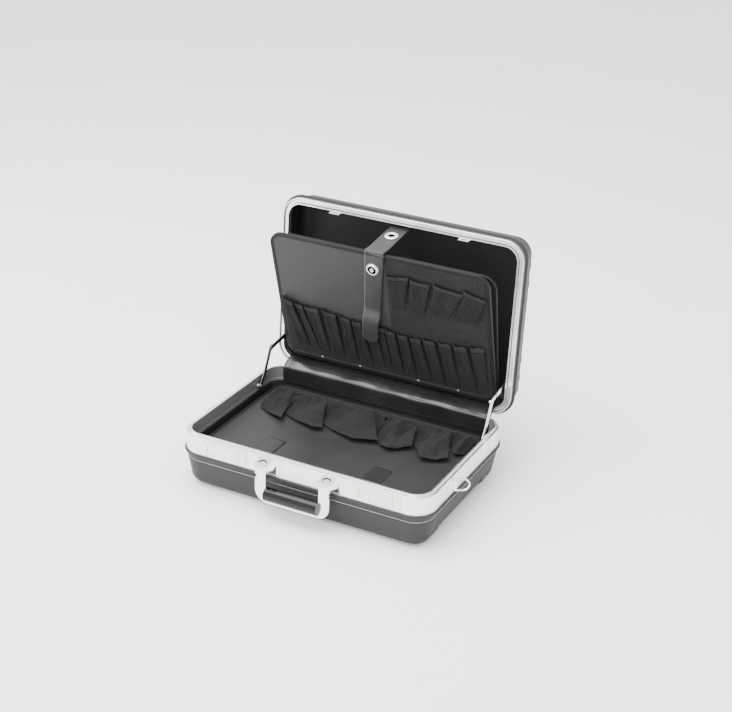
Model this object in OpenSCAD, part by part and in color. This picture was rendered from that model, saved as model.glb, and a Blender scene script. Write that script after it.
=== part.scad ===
// Hard tool case with an aluminium closing frame, shown with its lid open.
// X runs along the front, Y to the back, Z up. Millimetres.

/* [Case] */
// Outer width over the aluminium band
case_w = 480; // [440:5:520]
// Outer depth over the aluminium band
case_d = 328; // [300:4:360]
// Outer corner radius of the band, seen from above
corner_r = 38; // [36:1:46]
// Height of the base, from the floor to the shoulder that the lid closes on
base_h = 102; // [95:1:120]
// Depth of the lid, from its rim to the top of its ribs
lid_h = 70; // [64:1:85]
// Thickness of the moulded shells
shell_wall = 3; // [2.5:0.1:3.5]
// Opening angle of the lid from closed, in degrees
lid_open = 93.3; // [85:0.1:98]

/* [Base frame] */
// Height of the band's outer wall
band_h = 34; // [30:1:38]
// Height of the band's inner wall below the shoulder
inner_h = 26; // [24:1:28]
// Thickness of the extrusion's outer wall
frame_t = 2.2; // [1.8:0.1:2.4]
// Distance from the band's outer face to the tongue
tongue_inset = 5.8; // [5.6:0.1:6.2]
// Thickness of the tongue
tongue_t = 2.85; // [2.4:0.05:3]
// Height of the tongue above the shoulder
tongue_h = 3.2; // [2.5:0.1:3.6]
// How far the lip along the band's lower edge stands out
band_lip = 0.9; // [0.5:0.1:1.2]
// Height of the bead along the band's upper edge
bead_h = 2.1; // [1.5:0.1:2.5]
// How far the bead stands out
bead_out = 0.5; // [0.3:0.1:0.8]

/* [Shells] */
// How far the shell's flange stands out past the band
flange_out = 4; // [3:0.5:5]
// Height of the tapered flange, from the band to the seam
flange_h = 14.3; // [12:0.1:16]
// Distance from the band's outer face in to the seam
seam_inset = 2.6; // [2.2:0.1:3.2]
// How far the wall below the seam stands out from it
seam_step = 1.4; // [1:0.1:1.8]
// Inward draft of the base wall over its height
base_draft = 5.3; // [4:0.1:6]
// Radius along the base's lower edge
base_edge_r = 24; // [18:1:26]
// Inward draft of the lid wall over its height
lid_draft = 5; // [4:0.1:6]
// Radius along the lid's outer edge
lid_edge_r = 18; // [14:1:22]
// Depth of the recesses in the base's underside
recess = 4; // [3:0.5:5]
// Height of the lid's stiffening ribs
lid_rib = 2.5; // [1.5:0.5:3]
// Width of a lid rib
lid_rib_w = 8; // [6:1:12]

/* [Hinges] */
// Distance of the hinge axis behind the band's outer face
hinge_back = 7.1; // [7:0.1:8]
// Depth of the hinge axis below the shoulder
hinge_drop = 5.3; // [5:0.1:6]
// Length of each hinge
hinge_len = 60; // [50:2:80]
// Height of the hinges' leaves on the base
leaf_h = 15; // [12:1:17]
// Distance of the outer hinges from the middle
hinge_x = 150; // [120:5:170]
// Radius of the hinge knuckles
knuckle_r = 4.2; // [3.8:0.1:4.6]
// Radius of the hinge pins
hinge_pin_r = 2; // [1.5:0.1:2.4]

/* [Latches] */
// Distance of each latch from the middle
latch_x = 148; // [144:1:152]
// Width of the latch plate
latch_w = 91; // [84:1:94]
// Height of the latch plate
latch_h = 26; // [22:1:27]
// Thickness of the latch plate
latch_t = 2.6; // [2:0.1:3.5]
// Width of the tip lever
lever_w = 62; // [54:1:66]
// Height of the tip lever
lever_h = 16.5; // [14:0.5:18]
// Distance from the lever's free end to the latch plate's end
lever_end = 15; // [12:1:18]
// Radius of the key cylinder
key_r = 4.2; // [3.5:0.1:5]
// Distance of the key cylinder from the lever's free end
key_back = 34; // [30:1:38]
// How deep the key's barrel sits in its lever
key_seat = 1.4; // [1:0.1:1.4]
// How far the key's barrel stands out of its lever
key_proud = 0.6; // [0.4:0.1:1]
// Distance of each lock bolt from the middle
bolt_x = 128; // [122:1:134]
// Travel of the lock bolt
bolt_travel = 6; // [5:0.5:7]
// Radius of the lock bolt
bolt_r = 2; // [1.5:0.1:2.4]

/* [Handle] */
// Distance of each handle arm from the middle
arm_x = 61.5; // [55:0.5:68]
// Width of the stamped handle arm
arm_w = 20.5; // [16:0.5:21]
// Thickness of the stamped handle plate
arm_t = 3; // [2.5:0.1:3.5]
// Height of the handle from its pivot to its lower edge
handle_h = 64; // [60:1:76]
// Distance of the handle's pivot in front of the band
handle_out = 20; // [10:0.5:22]
// Radius of the handle's lower corners
bow_corner = 24; // [14:1:28]
// Depth of the handle's pivot below the shoulder
handle_drop = 12; // [10:0.5:14]
// Height of the grip
grip_h = 24; // [20:1:28]
// Depth of the grip, front to back
grip_t = 21; // [18:1:22]
// Width of a handle bracket
bracket_w = 47; // [42:1:50]
// Height of a handle bracket's plate
bracket_h = 25.6; // [24:0.1:26]
// Radius of the handle's pivot pins
handle_pin_r = 1.75; // [1.5:0.05:2]

/* [Shoulder strap rings] */
// Distance of each ring's bracket in front of the middle
ring_y = 62; // [50:1:70]
// Length of a ring's straight side
ring_len = 21; // [18:1:23]
// Reach of a ring from its pivot
ring_reach = 24; // [20:1:28]
// Radius of the ring's wire
ring_wire_r = 1.6; // [1.3:0.1:1.9]
// Swing of the right ring from straight out towards the back, in degrees
ring_swing = 33; // [20:1:45]
// Swing of the left ring, which lies back along the band, in degrees
ring_swing_left = 84; // [60:1:86]

/* [Lid stays] */
// Distance of the stay's base pivot behind the middle
stay_y = 90; // [84:1:96]
// Depth of the stay's base pivot below the shoulder
stay_drop = 15; // [13:0.5:17]
// Distance of the stay's elbow behind the middle
elbow_y = 127; // [122:1:132]
// Height of the stay's elbow above the shoulder
elbow_up = 51; // [46:1:54]
// Width of a stay link
stay_w = 8; // [7:0.5:9]
// Thickness of a stay link
stay_t = 1.8; // [1.5:0.1:2]
// Radius of the stay's rivets
stay_rivet_r = 2; // [1.6:0.1:2.4]
// Length of a stay's bracket on the base
stay_plate_l = 14; // [12:1:16]
// Height of a stay's bracket on the base
stay_plate_h = 15; // [13:1:16]

/* [Tool boards] */
// Width of the tool boards
board_w = 430; // [400:5:436]
// Height of the front tool board
board_h = 280; // [260:2:284]
// Height of the rear tool board
rear_h = 262; // [240:2:270]
// Thickness of the tool boards
board_t = 4; // [3:0.5:5]
// Corner radius of the boards
board_r = 26; // [18:1:32]
// Distance of the front board's lower edge behind the middle
board_y = 177; // [175:0.5:178]
// Height of the boards' lower edge above the shoulder
board_up = 24; // [24:0.5:28]
// Distance between the two tool boards at their lower edge
board_gap = 3.5; // [3:0.5:6]
// Forward lean of the front tool board, in degrees from upright
front_lean = 15.9; // [12:0.1:17]
// Forward lean of the rear tool board, in degrees from upright
rear_lean = 11.2; // [8:0.1:11.6]
// Distance of the hinge flap's ends in from the band's outer face
flap_side = 27; // [22:1:40]
// Thickness of the hinge flap
flap_t = 2.6; // [1.8:0.1:3]
// Thickness of the lining behind the base board
lining_t = 1; // [0.6:0.1:1.4]
// Width of the bound edge
bind_w = 6; // [4:0.5:8]
// How far the binding stands out from a board on each face
bind_t = 0.8; // [0.5:0.1:1.2]
// Depth of the tool pockets, in front of the board
pocket_t = 9; // [6:0.5:12]
// Height of the lower row of pockets
pocket_low_h = 106; // [90:2:112]
// Height of the upper row of pockets
pocket_up_h = 76; // [66:2:80]
// Distance of the upper row of pockets from the board's lower edge
pocket_up = 163; // [150:1:175]
// Distance of the lower row of pockets from the board's lower edge
pocket_low = 14; // [12:1:20]
// Distance of the inner rivets from the middle
rivet_near = 60; // [50:5:70]
// Distance of the outer rivets from the middle
rivet_far = 140; // [120:5:160]

/* [Strap] */
// Width of the strap
strap_w = 36; // [30:1:40]
// Thickness of the strap
strap_t = 2; // [1.5:0.1:2.4]
// Length of the strap's hanging tail, from the top of the board
strap_tail_l = 196; // [180:2:220]
// Distance of the strap to the right of the middle, at the board's top
strap_x = -3; // [-20:1:20]
// Tilt of the hanging strap to the left, in degrees
strap_tilt = 6.8; // [0:0.2:10]
// Radius of the snap fastener
snap_r = 12; // [8:0.5:16]
// Radius of the hole in the strap's eyelet
eyelet_hole_r = 6; // [4:0.5:8]
// Height at which the strap passes over the rear board
strap_over = 19; // [12:1:24]
// Distance of the snap fastener below the board's top edge
snap_drop = 30; // [24:1:50]
// Where the eyelet sits along the strap between the boards and the lid, as a share of that length
eyelet_at = 0.38; // [0.35:0.01:0.6]

/* [Base board] */
// Width of the base board
lower_w = 438; // [420:2:440]
// Depth of the base board, front to back
lower_d = 292; // [280:2:296]
// Thickness of the base board
lower_t = 5; // [4:0.5:6]
// Depth of the base board's top face below the shoulder
lower_drop = 31; // [30:0.5:34]
// Thickness of the loose pockets along the back of the base board
lower_pocket_t = 9; // [6:1:12]
// Depth of the row of loose pockets, front to back
lower_pocket_d = 118; // [100:2:130]
// Distance of the loose pockets in from the board's side edges
lower_pocket_side = 14; // [10:1:20]
// Distance of the loose pockets in from the board's back edge
lower_pocket_back = 14; // [13:1:20]
// Distance of each pull tab from the middle
tab_x = 106; // [90:1:120]
// Width of a pull tab
tab_w = 36; // [30:1:40]
// Length of a pull tab
tab_l = 53; // [45:1:60]
// Distance of the pull tabs from the base board's front edge
tab_front = 38; // [30:1:45]
// Thickness of a pull tab
tab_t = 1.4; // [1:0.1:2]
// Length of the ledges that carry the base board
ledge_l = 300; // [250:10:360]
// How far a ledge reaches under the base board
ledge_in = 10; // [8:1:16]

/* [Clearances] */
// Gap between the closed rims
rim_gap = 0.4; // [0.2:0.1:0.6]
// Gap between fixed pieces that do not touch
gap = 0.3; // [0.2:0.05:0.4]
// Radial clearance of pins in their bores
pin_fit = 0.08; // [0.03:0.01:0.1]

/* [Hidden] */
$fn = 64;

half_w = case_w / 2;
half_d = case_d / 2;
eps = 0.01;
sides = [-1, 1];

// Hinge axis and the closed lid's rim
axis_y = half_d + hinge_back;
axis_z = base_h - hinge_drop;
rim_z = base_h + rim_gap;

// Walls of the two frames, as distances in from the band's outer face
base_inner = tongue_inset + tongue_t;
lid_lip_out = base_inner + 1.45;
lid_lip_in = lid_lip_out + 2;

// Wall of a shell where it stands inside the frame's channel
shell_out = frame_t + gap;
shell_in = tongue_inset - 0.5;

// Overall width and depth of the open case, to put its origin under the middle
mid_x = ring_reach * (cos(ring_swing) - cos(ring_swing_left)) / 2;
handle_front = half_d + handle_out + grip_h / 2;
lid_reach = (lid_h + rim_gap + hinge_drop) * sin(lid_open)
    - (case_d + hinge_back - lid_edge_r) * cos(lid_open);
lid_back = axis_y + lid_reach;
mid_y = (lid_back - handle_front) / 2;

// Stay linkage: a parallelogram on the hinge axis, so that the elbow always meets
elbow = [elbow_y, base_h + elbow_up];
stay_foot = [stay_y, base_h - stay_drop];
stay_head = elbow + [axis_y, axis_z] - stay_foot;
stay_x_low = half_w - base_inner - 5;
stay_x_up = stay_x_low - stay_t - gap;

// Boards
lining_out = base_inner + 0.85;
lower_back = half_d - lining_out - lining_t - 4;
lower_top = base_h - lower_drop;

// ---------------------------------------------------------------- helpers

// Moves the whole case so that the origin is under the middle of its box
module at_origin() {
    translate([-mid_x, -mid_y, 0]) children();
}

// Turns a piece drawn on the closed lid to where the open lid holds it
module on_lid() {
    at_origin() translate([0, axis_y, axis_z]) rotate([-lid_open, 0, 0])
        translate([0, -axis_y, -axis_z]) children();
}

// Places a tool board's own plane: X along it, Z up it, Y into it from its front face
module on_board(y, lean) {
    at_origin() translate([0, y, base_h + board_up]) rotate([lean, 0, 0]) children();
}

// Sweeps a profile round the case; the profile's X is measured out from the corner's centre
module round_case() {
    cx = half_w - corner_r;
    cy = half_d - corner_r;
    for (i = [0:3]) {
        across = i % 2 == 0 ? 2 * cy : 2 * cx;
        place = [[cx, cy], [-cx, cy], [-cx, -cy], [cx, -cy]][i];
        translate(place) rotate([0, 0, 90 * i]) {
            rotate_extrude(angle = 90) children();
            rotate([90, 0, 0]) linear_extrude(across) children();
        }
    }
}

// Points of an arc from angle a to angle b about a centre
function arc(centre, r, a, b, steps = 8) =
    [for (i = [0:steps]) centre + r * [cos(a + (b - a) * i / steps), sin(a + (b - a) * i / steps)]];

// An outline over both sides, from its right half
function both_sides(p) = concat(p, [for (i = [len(p) - 1:-1:0]) [-p[i][0], p[i][1]]]);

// A point of a swept profile, from its distance in from the band's outer face and its height
function at(inset, z) = [corner_r - inset, z];

// A flat plate with rounded corners in the XZ plane, growing to +Y, with z = 0 at its lower edge
module board_plate(w, h, t, r) {
    rotate([90, 0, 0]) translate([0, 0, -t]) linear_extrude(t) rounded(w, h, r);
}

// A rounded rectangle centred in X and standing on y = 0
module rounded(w, h, r) {
    translate([-w / 2 + r, 0]) square([w - 2 * r, h]);
    translate([-w / 2, r]) square([w, h - 2 * r]);
    for (s = sides, y = [r, h - r]) translate([s * (w / 2 - r), y]) circle(r);
}

// A cylinder along X, centred at [y, z], from x to x + len
module rod_x(x, len, p, r) {
    translate([x, p[0], p[1]]) rotate([0, 90, 0]) cylinder(h = len, r = r);
}

// ---------------------------------------------------------------- shells

// Profile of a moulded shell: its edge in the frame, flange, seam, drafted wall and rounded edge
function shell_profile(top, flange, draft, edge_r, face, inner_face) =
    let (dir = flange < top ? -1 : 1)
    let (seam = flange + dir * flange_h)
    let (wall = seam_inset - seam_step)
    let (turn = face - dir * edge_r)
    let (inner_turn = inner_face - dir * (edge_r - shell_wall))
    let (centre = at(wall + draft + edge_r, turn))
    let (inner_centre = at(wall + draft + edge_r, inner_turn))
    concat(
        [
            at(shell_in, top), at(shell_out, top), at(shell_out, flange), at(-flange_out, flange),
            at(-flange_out, flange + dir * 2), at(seam_inset, seam),
            at(wall, seam + dir * seam_step),
        ],
        arc(centre, edge_r, 0, dir * 90),
        [at(corner_r, face), at(corner_r, inner_face)],
        arc(inner_centre, edge_r - shell_wall, dir * 90, 0),
        [at(seam_inset + shell_wall, seam)]
    );

base_flange_z = base_h - band_h;
base_profile = shell_profile(
    base_h - 8, base_flange_z, base_draft, base_edge_r, 0, shell_wall + recess);

// Zones of the underside that stand on the floor, as [from, to] out from the middle
foot_zones = [[94, 111], [118, 126]];

// Cuts the underside back from y = from to y = to, and up round its rounded edges
module base_recess(from, to) {
    x = half_w - seam_inset + seam_step - base_draft - base_edge_r;
    up = arc([x, base_edge_r + recess], base_edge_r, -90, -20);
    out = half_w + flange_out;
    translate([0, to, 0]) rotate([90, 0, 0]) linear_extrude(to - from)
        polygon(both_sides(concat(up, [[out, up[len(up) - 1][1]], [out, -1]])));
}

// Room in the shell's edge for a latch and its bolt
module latch_notch(s) {
    translate([s * latch_x - latch_w / 2 + 4, -half_d + frame_t, base_h - 24])
        cube([latch_w - 8, tongue_inset - frame_t, 20]);
}

module base_shell() {
    color([0.25, 0.25, 0.26]) at_origin() difference() {
        union() {
            round_case() polygon(base_profile);
            translate([corner_r - half_w, corner_r - half_d, 0])
                cube([case_w - 2 * corner_r, case_d - 2 * corner_r, shell_wall + recess]);
        }
        for (s = sides) latch_notch(s);
        base_recess(-foot_zones[0][0], foot_zones[0][0]);
        for (s = sides) base_recess(
            min(s * foot_zones[0][1], s * foot_zones[1][0]),
            max(s * foot_zones[0][1], s * foot_zones[1][0]));
    }
}

lid_flange_z = rim_z + 9;
lid_face_z = rim_z + lid_h - lid_rib;
lid_profile = shell_profile(
    rim_z + 6.8, lid_flange_z, lid_draft, lid_edge_r, lid_face_z, lid_face_z - shell_wall);
rib_places = [72, 108];

// One rib, from edge to edge over the lid, following its rounded edges
module lid_rib_bar(y) {
    x = half_w - seam_inset + seam_step - lid_draft - lid_edge_r;
    outer = arc([x, lid_face_z - lid_edge_r + lid_rib], lid_edge_r, 20, 90);
    inner = arc([x, lid_face_z - lid_edge_r - 1], lid_edge_r, 90, 20);
    translate([0, y + lid_rib_w / 2, 0]) rotate([90, 0, 0]) linear_extrude(lid_rib_w)
        polygon(both_sides(concat(inner, outer)));
}

module lid_shell() {
    color([0.25, 0.25, 0.26]) on_lid() union() {
        round_case() polygon(lid_profile);
        translate([corner_r - half_w, corner_r - half_d, lid_face_z - shell_wall])
            cube([case_w - 2 * corner_r, case_d - 2 * corner_r, shell_wall]);
        for (y = rib_places, s = sides) lid_rib_bar(s * y);
    }
}

// ---------------------------------------------------------------- frames

latch_top = base_h - bead_h - gap;
latch_mid = latch_top - latch_h / 2;
band_lip_top = latch_top - latch_h - gap;
bolt_z = base_h - 5.5;
plate_y = -half_d - latch_t;

// Where the free end of a latch's lever is, for the latch on side s
function lever_right(s) = s * latch_x + latch_w / 2 - lever_end;
function lever_pin_x(s) = lever_right(s) - lever_w + (latch_t - gap) / 2;
function key_x(s) = lever_right(s) - key_back;

base_frame_profile = [
    at(-band_lip, base_flange_z), at(-band_lip, band_lip_top - band_lip),
    at(0, band_lip_top), at(0, base_h - bead_h), at(-bead_out, base_h - bead_h + bead_out),
    at(-bead_out, base_h - bead_out), at(0, base_h), at(tongue_inset, base_h),
    at(tongue_inset, base_h + tongue_h), at(base_inner, base_h + tongue_h),
    at(base_inner, base_h - inner_h + 6), at(base_inner + 0.75, base_h - inner_h + 5),
    at(base_inner + 0.75, base_h - inner_h), at(tongue_inset, base_h - inner_h),
    at(tongue_inset, base_h - 3), at(frame_t, base_h - 3), at(frame_t, base_h - band_h),
];

module base_frame() {
    color([0.86, 0.86, 0.86]) at_origin() difference() {
        round_case() polygon(base_frame_profile);
        for (s = sides) {
            latch_window(s, frame_t);
            translate([s * bolt_x, -half_d - 1, bolt_z]) rotate([-90, 0, 0])
                cylinder(h = base_inner + 2, r = bolt_r + pin_fit);
        }
    }
}

// The opening behind a lever, to a depth behind the band's outer face
module latch_window(s, depth) {
    from = lever_pin_x(s) + 4;
    translate([from, -half_d - 2, latch_mid - lever_h / 2 + 1])
        cube([lever_right(s) - 2 - from, depth + 2 + eps, lever_h - 2]);
}

lid_frame_profile = [
    at(0, rim_z + 0.5), at(0, rim_z + 9), at(frame_t, rim_z + 9), at(frame_t, rim_z + 6.4),
    at(lid_lip_out, rim_z + 6.4), at(lid_lip_out, rim_z + 12), at(lid_lip_in, rim_z + 12),
    at(lid_lip_in, rim_z), at(lid_lip_out, rim_z), at(lid_lip_out, rim_z + tongue_h + 1),
    at(frame_t, rim_z + tongue_h + 1), at(frame_t, rim_z), at(0.5, rim_z),
];

module lid_frame() {
    color([0.88, 0.88, 0.88]) on_lid() round_case() polygon(lid_frame_profile);
}

// ---------------------------------------------------------------- hinges

leaf_t = 1.8;
hinge_places = [-hinge_x, 0, hinge_x];
knuckle_len = hinge_len / 4;

// Draws a YZ outline as a slab from x to x + t
module yz_slab(x, t) {
    translate([x, 0, 0]) rotate([90, 0, 90]) linear_extrude(t) children();
}

module hinge_bore() {
    for (x = hinge_places) rod_x(x - hinge_len, 2 * hinge_len, [axis_y, axis_z], hinge_pin_r + pin_fit);
}

module rivet_heads(x, y, z, spread) {
    for (s = sides) translate([x + s * spread, y - eps, z]) rotate([-90, 0, 0]) cylinder(h = 0.9, r = 2.4);
}

module hinge_base_leaves() {
    color([0.75, 0.75, 0.75]) at_origin() difference() {
        for (x = hinge_places) union() {
            yz_slab(x - hinge_len / 2, hinge_len) polygon([
                [half_d, base_h - 12 - leaf_h], [half_d + leaf_t, base_h - 12 - leaf_h],
                [half_d + leaf_t, base_h - 12], [half_d, base_h - 12],
            ]);
            yz_slab(x - knuckle_len, 2 * knuckle_len) {
                polygon([
                    [half_d + leaf_t / 2, base_h - 14], [half_d + leaf_t, base_h - 14],
                    [axis_y, axis_z - knuckle_r], [axis_y, axis_z], [axis_y - knuckle_r + 0.3, axis_z],
                    [half_d + leaf_t / 2, base_h - 12],
                ]);
                translate([axis_y, axis_z]) circle(knuckle_r);
            }
            rivet_heads(x, half_d + leaf_t, base_h - 20, hinge_len / 3);
        }
        hinge_bore();
    }
}

module hinge_lid_leaves() {
    color([0.75, 0.75, 0.75]) on_lid() difference() {
        for (x = hinge_places) union() {
            yz_slab(x - hinge_len / 2, hinge_len) polygon([
                [half_d, rim_z + 2], [half_d + leaf_t, rim_z + 2],
                [half_d + leaf_t, rim_z + 8.6], [half_d, rim_z + 8.6],
            ]);
            for (s = sides) yz_slab(x + s * (knuckle_len + gap + hinge_len / 2) / 2
                    - (hinge_len / 2 - knuckle_len - gap) / 2, hinge_len / 2 - knuckle_len - gap) {
                polygon([
                    [half_d + leaf_t / 2, rim_z + 2], [axis_y - knuckle_r + 0.2, axis_z + 0.6],
                    [axis_y, axis_z], [axis_y + 2.6, axis_z + 3.2],
                    [half_d + leaf_t, rim_z + 7], [half_d + leaf_t / 2, rim_z + 7],
                ]);
                translate([axis_y, axis_z]) circle(knuckle_r);
            }
        }
        hinge_bore();
    }
}

module hinge_pins() {
    color([0.6, 0.6, 0.62]) at_origin() for (x = hinge_places)
        rod_x(x - hinge_len / 2 - 0.5, hinge_len + 1, [axis_y, axis_z], hinge_pin_r);
}

// ---------------------------------------------------------------- latches

lever_play = 0.4;
lever_pin_r = 0.8;
lever_t = latch_t - gap;
lever_pin_y = plate_y + lever_t / 2;

module latch_plates() {
    color([0.93, 0.91, 0.85]) at_origin() for (s = sides) difference() {
        translate([s * latch_x, 0, latch_top - latch_h]) rotate([90, 0, 0])
            translate([0, 0, half_d]) linear_extrude(latch_t) rounded(latch_w, latch_h, 2.5);
        translate([
            lever_pin_x(s) - lever_t / 2 - lever_play,
            plate_y - 1,
            latch_mid - lever_h / 2 - lever_play,
        ])
            cube([lever_w + lever_play + 1.4, latch_t + 2, lever_h + 2 * lever_play]);
        lever_pin_bore(s);
    }
}

module lever_pin_bore(s) {
    translate([lever_pin_x(s), lever_pin_y, latch_mid - lever_h / 2 - 3])
        cylinder(h = lever_h + 6, r = lever_pin_r + pin_fit);
}

module latch_pins() {
    color([0.7, 0.7, 0.7]) at_origin() for (s = sides)
        translate([lever_pin_x(s), lever_pin_y, latch_mid - lever_h / 2 - 2.8])
            cylinder(h = lever_h + 5.6, r = lever_pin_r);
}

module latch_lever(s) {
    color([0.95, 0.93, 0.88]) at_origin() difference() {
        union() {
            translate([lever_pin_x(s), plate_y, latch_mid - lever_h / 2])
                cube([lever_w - lever_t / 2, lever_t, lever_h]);
            translate([lever_pin_x(s), lever_pin_y, latch_mid - lever_h / 2])
                cylinder(h = lever_h, r = lever_t / 2);
        }
        lever_pin_bore(s);
        translate([key_x(s), plate_y - 1, latch_mid]) rotate([-90, 0, 0])
            cylinder(h = 1 + key_seat + pin_fit, r = key_r + pin_fit);
        translate([lever_right(s) - 4, plate_y - eps, latch_mid - lever_h / 2 + 2])
            cube([1.2, 0.8, lever_h - 4]);
    }
}

module latch_lever_left() { latch_lever(-1); }
module latch_lever_right() { latch_lever(1); }

module key_cylinder(s) {
    color([0.8, 0.8, 0.8]) at_origin() difference() {
        translate([key_x(s), plate_y - key_proud, latch_mid]) rotate([-90, 0, 0])
            cylinder(h = key_proud + key_seat, r = key_r);
        translate([key_x(s) - 0.5, plate_y - key_proud - eps, latch_mid - 2.6])
            cube([1, key_proud + key_seat / 2, 5.2]);
    }
}

module key_cylinder_left() { key_cylinder(-1); }
module key_cylinder_right() { key_cylinder(1); }

// At rest the bolt ends just inside the tongue; thrown, its tail stays in its guide
bolt_end = base_inner - 0.15;
bolt_l = bolt_travel + 2;

module lock_bolt(s) {
    color([0.7, 0.7, 0.7]) at_origin() translate([s * bolt_x, bolt_end - bolt_l - half_d, bolt_z])
        rotate([-90, 0, 0]) cylinder(h = bolt_l, r = bolt_r);
}

module lock_bolt_left() { lock_bolt(-1); }
module lock_bolt_right() { lock_bolt(1); }

module bolt_guides() {
    color([0.3, 0.3, 0.3]) at_origin() for (s = sides) difference() {
        translate([s * bolt_x - 7, -half_d + frame_t + gap, base_h - 3 - 4.7])
            cube([14, tongue_inset - frame_t - 2 * gap, 4.7]);
        translate([s * bolt_x, -half_d, bolt_z]) rotate([-90, 0, 0])
            cylinder(h = base_inner, r = bolt_r + pin_fit);
    }
}

// Loops that hang from the lid's inner lip, each with a slot for its lock bolt
catch_w = 20;
catch_t = 1.5;

module lid_catches() {
    color([0.9, 0.9, 0.88]) on_lid() for (s = sides) {
        face = half_d - lid_lip_in;
        difference() {
            translate([s * bolt_x - catch_w / 2, -face, bolt_z - 5]) cube([catch_w, catch_t, 20]);
            translate([s * bolt_x - 6, -face - 1, bolt_z - 2.6]) cube([12, catch_t + 2, 5.2]);
        }
    }
}

// ---------------------------------------------------------------- handle

pivot_y = -half_d - handle_out;
pivot_z = base_h - handle_drop;
eye_r = handle_pin_r + 1.7;
ear_t = 2.6;
hood_t = 1.8;
hood_w = arm_w + 2 * gap + 2 * ear_t;
hood_top = base_h - 3;
hood_front = [pivot_y - eye_r, pivot_z + eye_r + gap + hood_t];
grip_mid = pivot_z - handle_h + 5.5 + grip_h / 2;

// Places a front-view outline (X, Z) as a plate about the handle's plane
module handle_plane(t) {
    translate([0, pivot_y + t / 2, 0]) rotate([90, 0, 0]) linear_extrude(t) children();
}

module handle_brackets() {
    color([0.85, 0.85, 0.86]) at_origin() for (s = sides) difference() {
        union() {
            translate([s * arm_x - bracket_w / 2, -half_d - 1.6, latch_top - bracket_h])
                cube([bracket_w, 1.6, bracket_h]);
            for (e = sides) yz_slab(
                s * arm_x + e * (arm_w / 2 + gap + ear_t / 2) - ear_t / 2, ear_t) {
                polygon([
                    [-half_d - 1, hood_top], [-half_d - 1, hood_top - 19],
                    [pivot_y, pivot_z - eye_r], [pivot_y - eye_r, pivot_z], hood_front,
                    [-half_d - 4, hood_top],
                ]);
                translate([pivot_y, pivot_z]) circle(eye_r);
            }
            yz_slab(s * arm_x - hood_w / 2, hood_w) polygon([
                [-half_d - 1, hood_top], [-half_d - 4, hood_top], hood_front,
                hood_front - [0, hood_t], [-half_d - 4, hood_top - hood_t],
                [-half_d - 1, hood_top - hood_t],
            ]);
        }
        rod_x(s * arm_x - arm_w, 2 * arm_w, [pivot_y, pivot_z], handle_pin_r + pin_fit);
    }
}

module handle_pins() {
    color([0.7, 0.7, 0.72]) at_origin() for (s = sides)
        rod_x(s * arm_x - hood_w / 2, hood_w, [pivot_y, pivot_z], handle_pin_r);
}

module handle_bow() {
    low = pivot_z - handle_h;
    outer = arm_x + arm_w / 2;
    inner = arm_x - arm_w / 2;
    color([0.88, 0.88, 0.9]) at_origin() difference() {
        union() {
            handle_plane(arm_t) difference() {
                translate([0, low]) rounded(2 * outer, handle_h - 2, bow_corner);
                translate([-inner, low + 5]) square([2 * inner, handle_h]);
                for (s = sides) translate([s * outer - 20, pivot_z - 6]) square([40, 6]);
            }
            for (s = sides) {
                translate([s * arm_x - arm_w / 2, pivot_y - arm_t / 2, pivot_z - 12])
                    cube([arm_w, arm_t, 12]);
                rod_x(s * arm_x - arm_w / 2, arm_w, [pivot_y, pivot_z], eye_r);
            }
        }
        rod_x(-outer - 1, 2 * outer + 2, [pivot_y, pivot_z], handle_pin_r + pin_fit);
    }
}

module handle_grip() {
    inner = arm_x - arm_w / 2 - 0.1;
    color([0.1, 0.1, 0.1]) at_origin() intersection() {
        rod_x(-inner, 2 * inner, [pivot_y, grip_mid], grip_h / 2);
        translate([-inner, pivot_y - grip_h / 2, grip_mid - grip_h / 2]) cube([2 * inner, grip_t, grip_h]);
    }
}

// ---------------------------------------------------------------- strap rings

ring_mid = base_h - 16;
ring_off = 4.6;
sleeve_len = 14;
sleeve_r = 3.1;

module ring_brackets() {
    color([0.8, 0.8, 0.8]) at_origin() for (s = sides) difference() {
        union() {
            translate([s * half_w + (s > 0 ? 0 : -1.4), -ring_y - 6, ring_mid - 11]) cube([1.4, 12, 22]);
            translate([s * (half_w + ring_off), -ring_y, ring_mid - sleeve_len / 2])
                cylinder(h = sleeve_len, r = sleeve_r);
            translate([s * (half_w + ring_off / 2) - ring_off / 2, -ring_y - 2, ring_mid - sleeve_len / 2])
                cube([ring_off, 4, sleeve_len]);
        }
        translate([s * (half_w + ring_off), -ring_y, ring_mid - sleeve_len])
            cylinder(h = 2 * sleeve_len, r = ring_wire_r + pin_fit);
    }
}

module strap_ring(s) {
    run = ring_reach - ring_len / 2;
    color([0.82, 0.82, 0.84]) at_origin() translate([s * (half_w + ring_off), -ring_y, ring_mid])
        rotate([0, 0, s > 0 ? ring_swing : 180 - ring_swing_left]) {
            translate([0, 0, -ring_len / 2]) cylinder(h = ring_len, r = ring_wire_r);
            for (e = sides) translate([0, 0, e * ring_len / 2]) {
                sphere(r = ring_wire_r);
                rotate([0, 90, 0]) cylinder(h = run, r = ring_wire_r);
            }
            translate([run, 0, 0]) rotate([90, 0, 0]) rotate([0, 0, -90])
                rotate_extrude(angle = 180) translate([ring_len / 2, 0]) circle(ring_wire_r);
        }
}

module strap_ring_left() { strap_ring(-1); }
module strap_ring_right() { strap_ring(1); }

// ---------------------------------------------------------------- lid stays

stay_bore = stay_rivet_r + pin_fit;
stay_eye = stay_w / 2 + 1;

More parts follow.
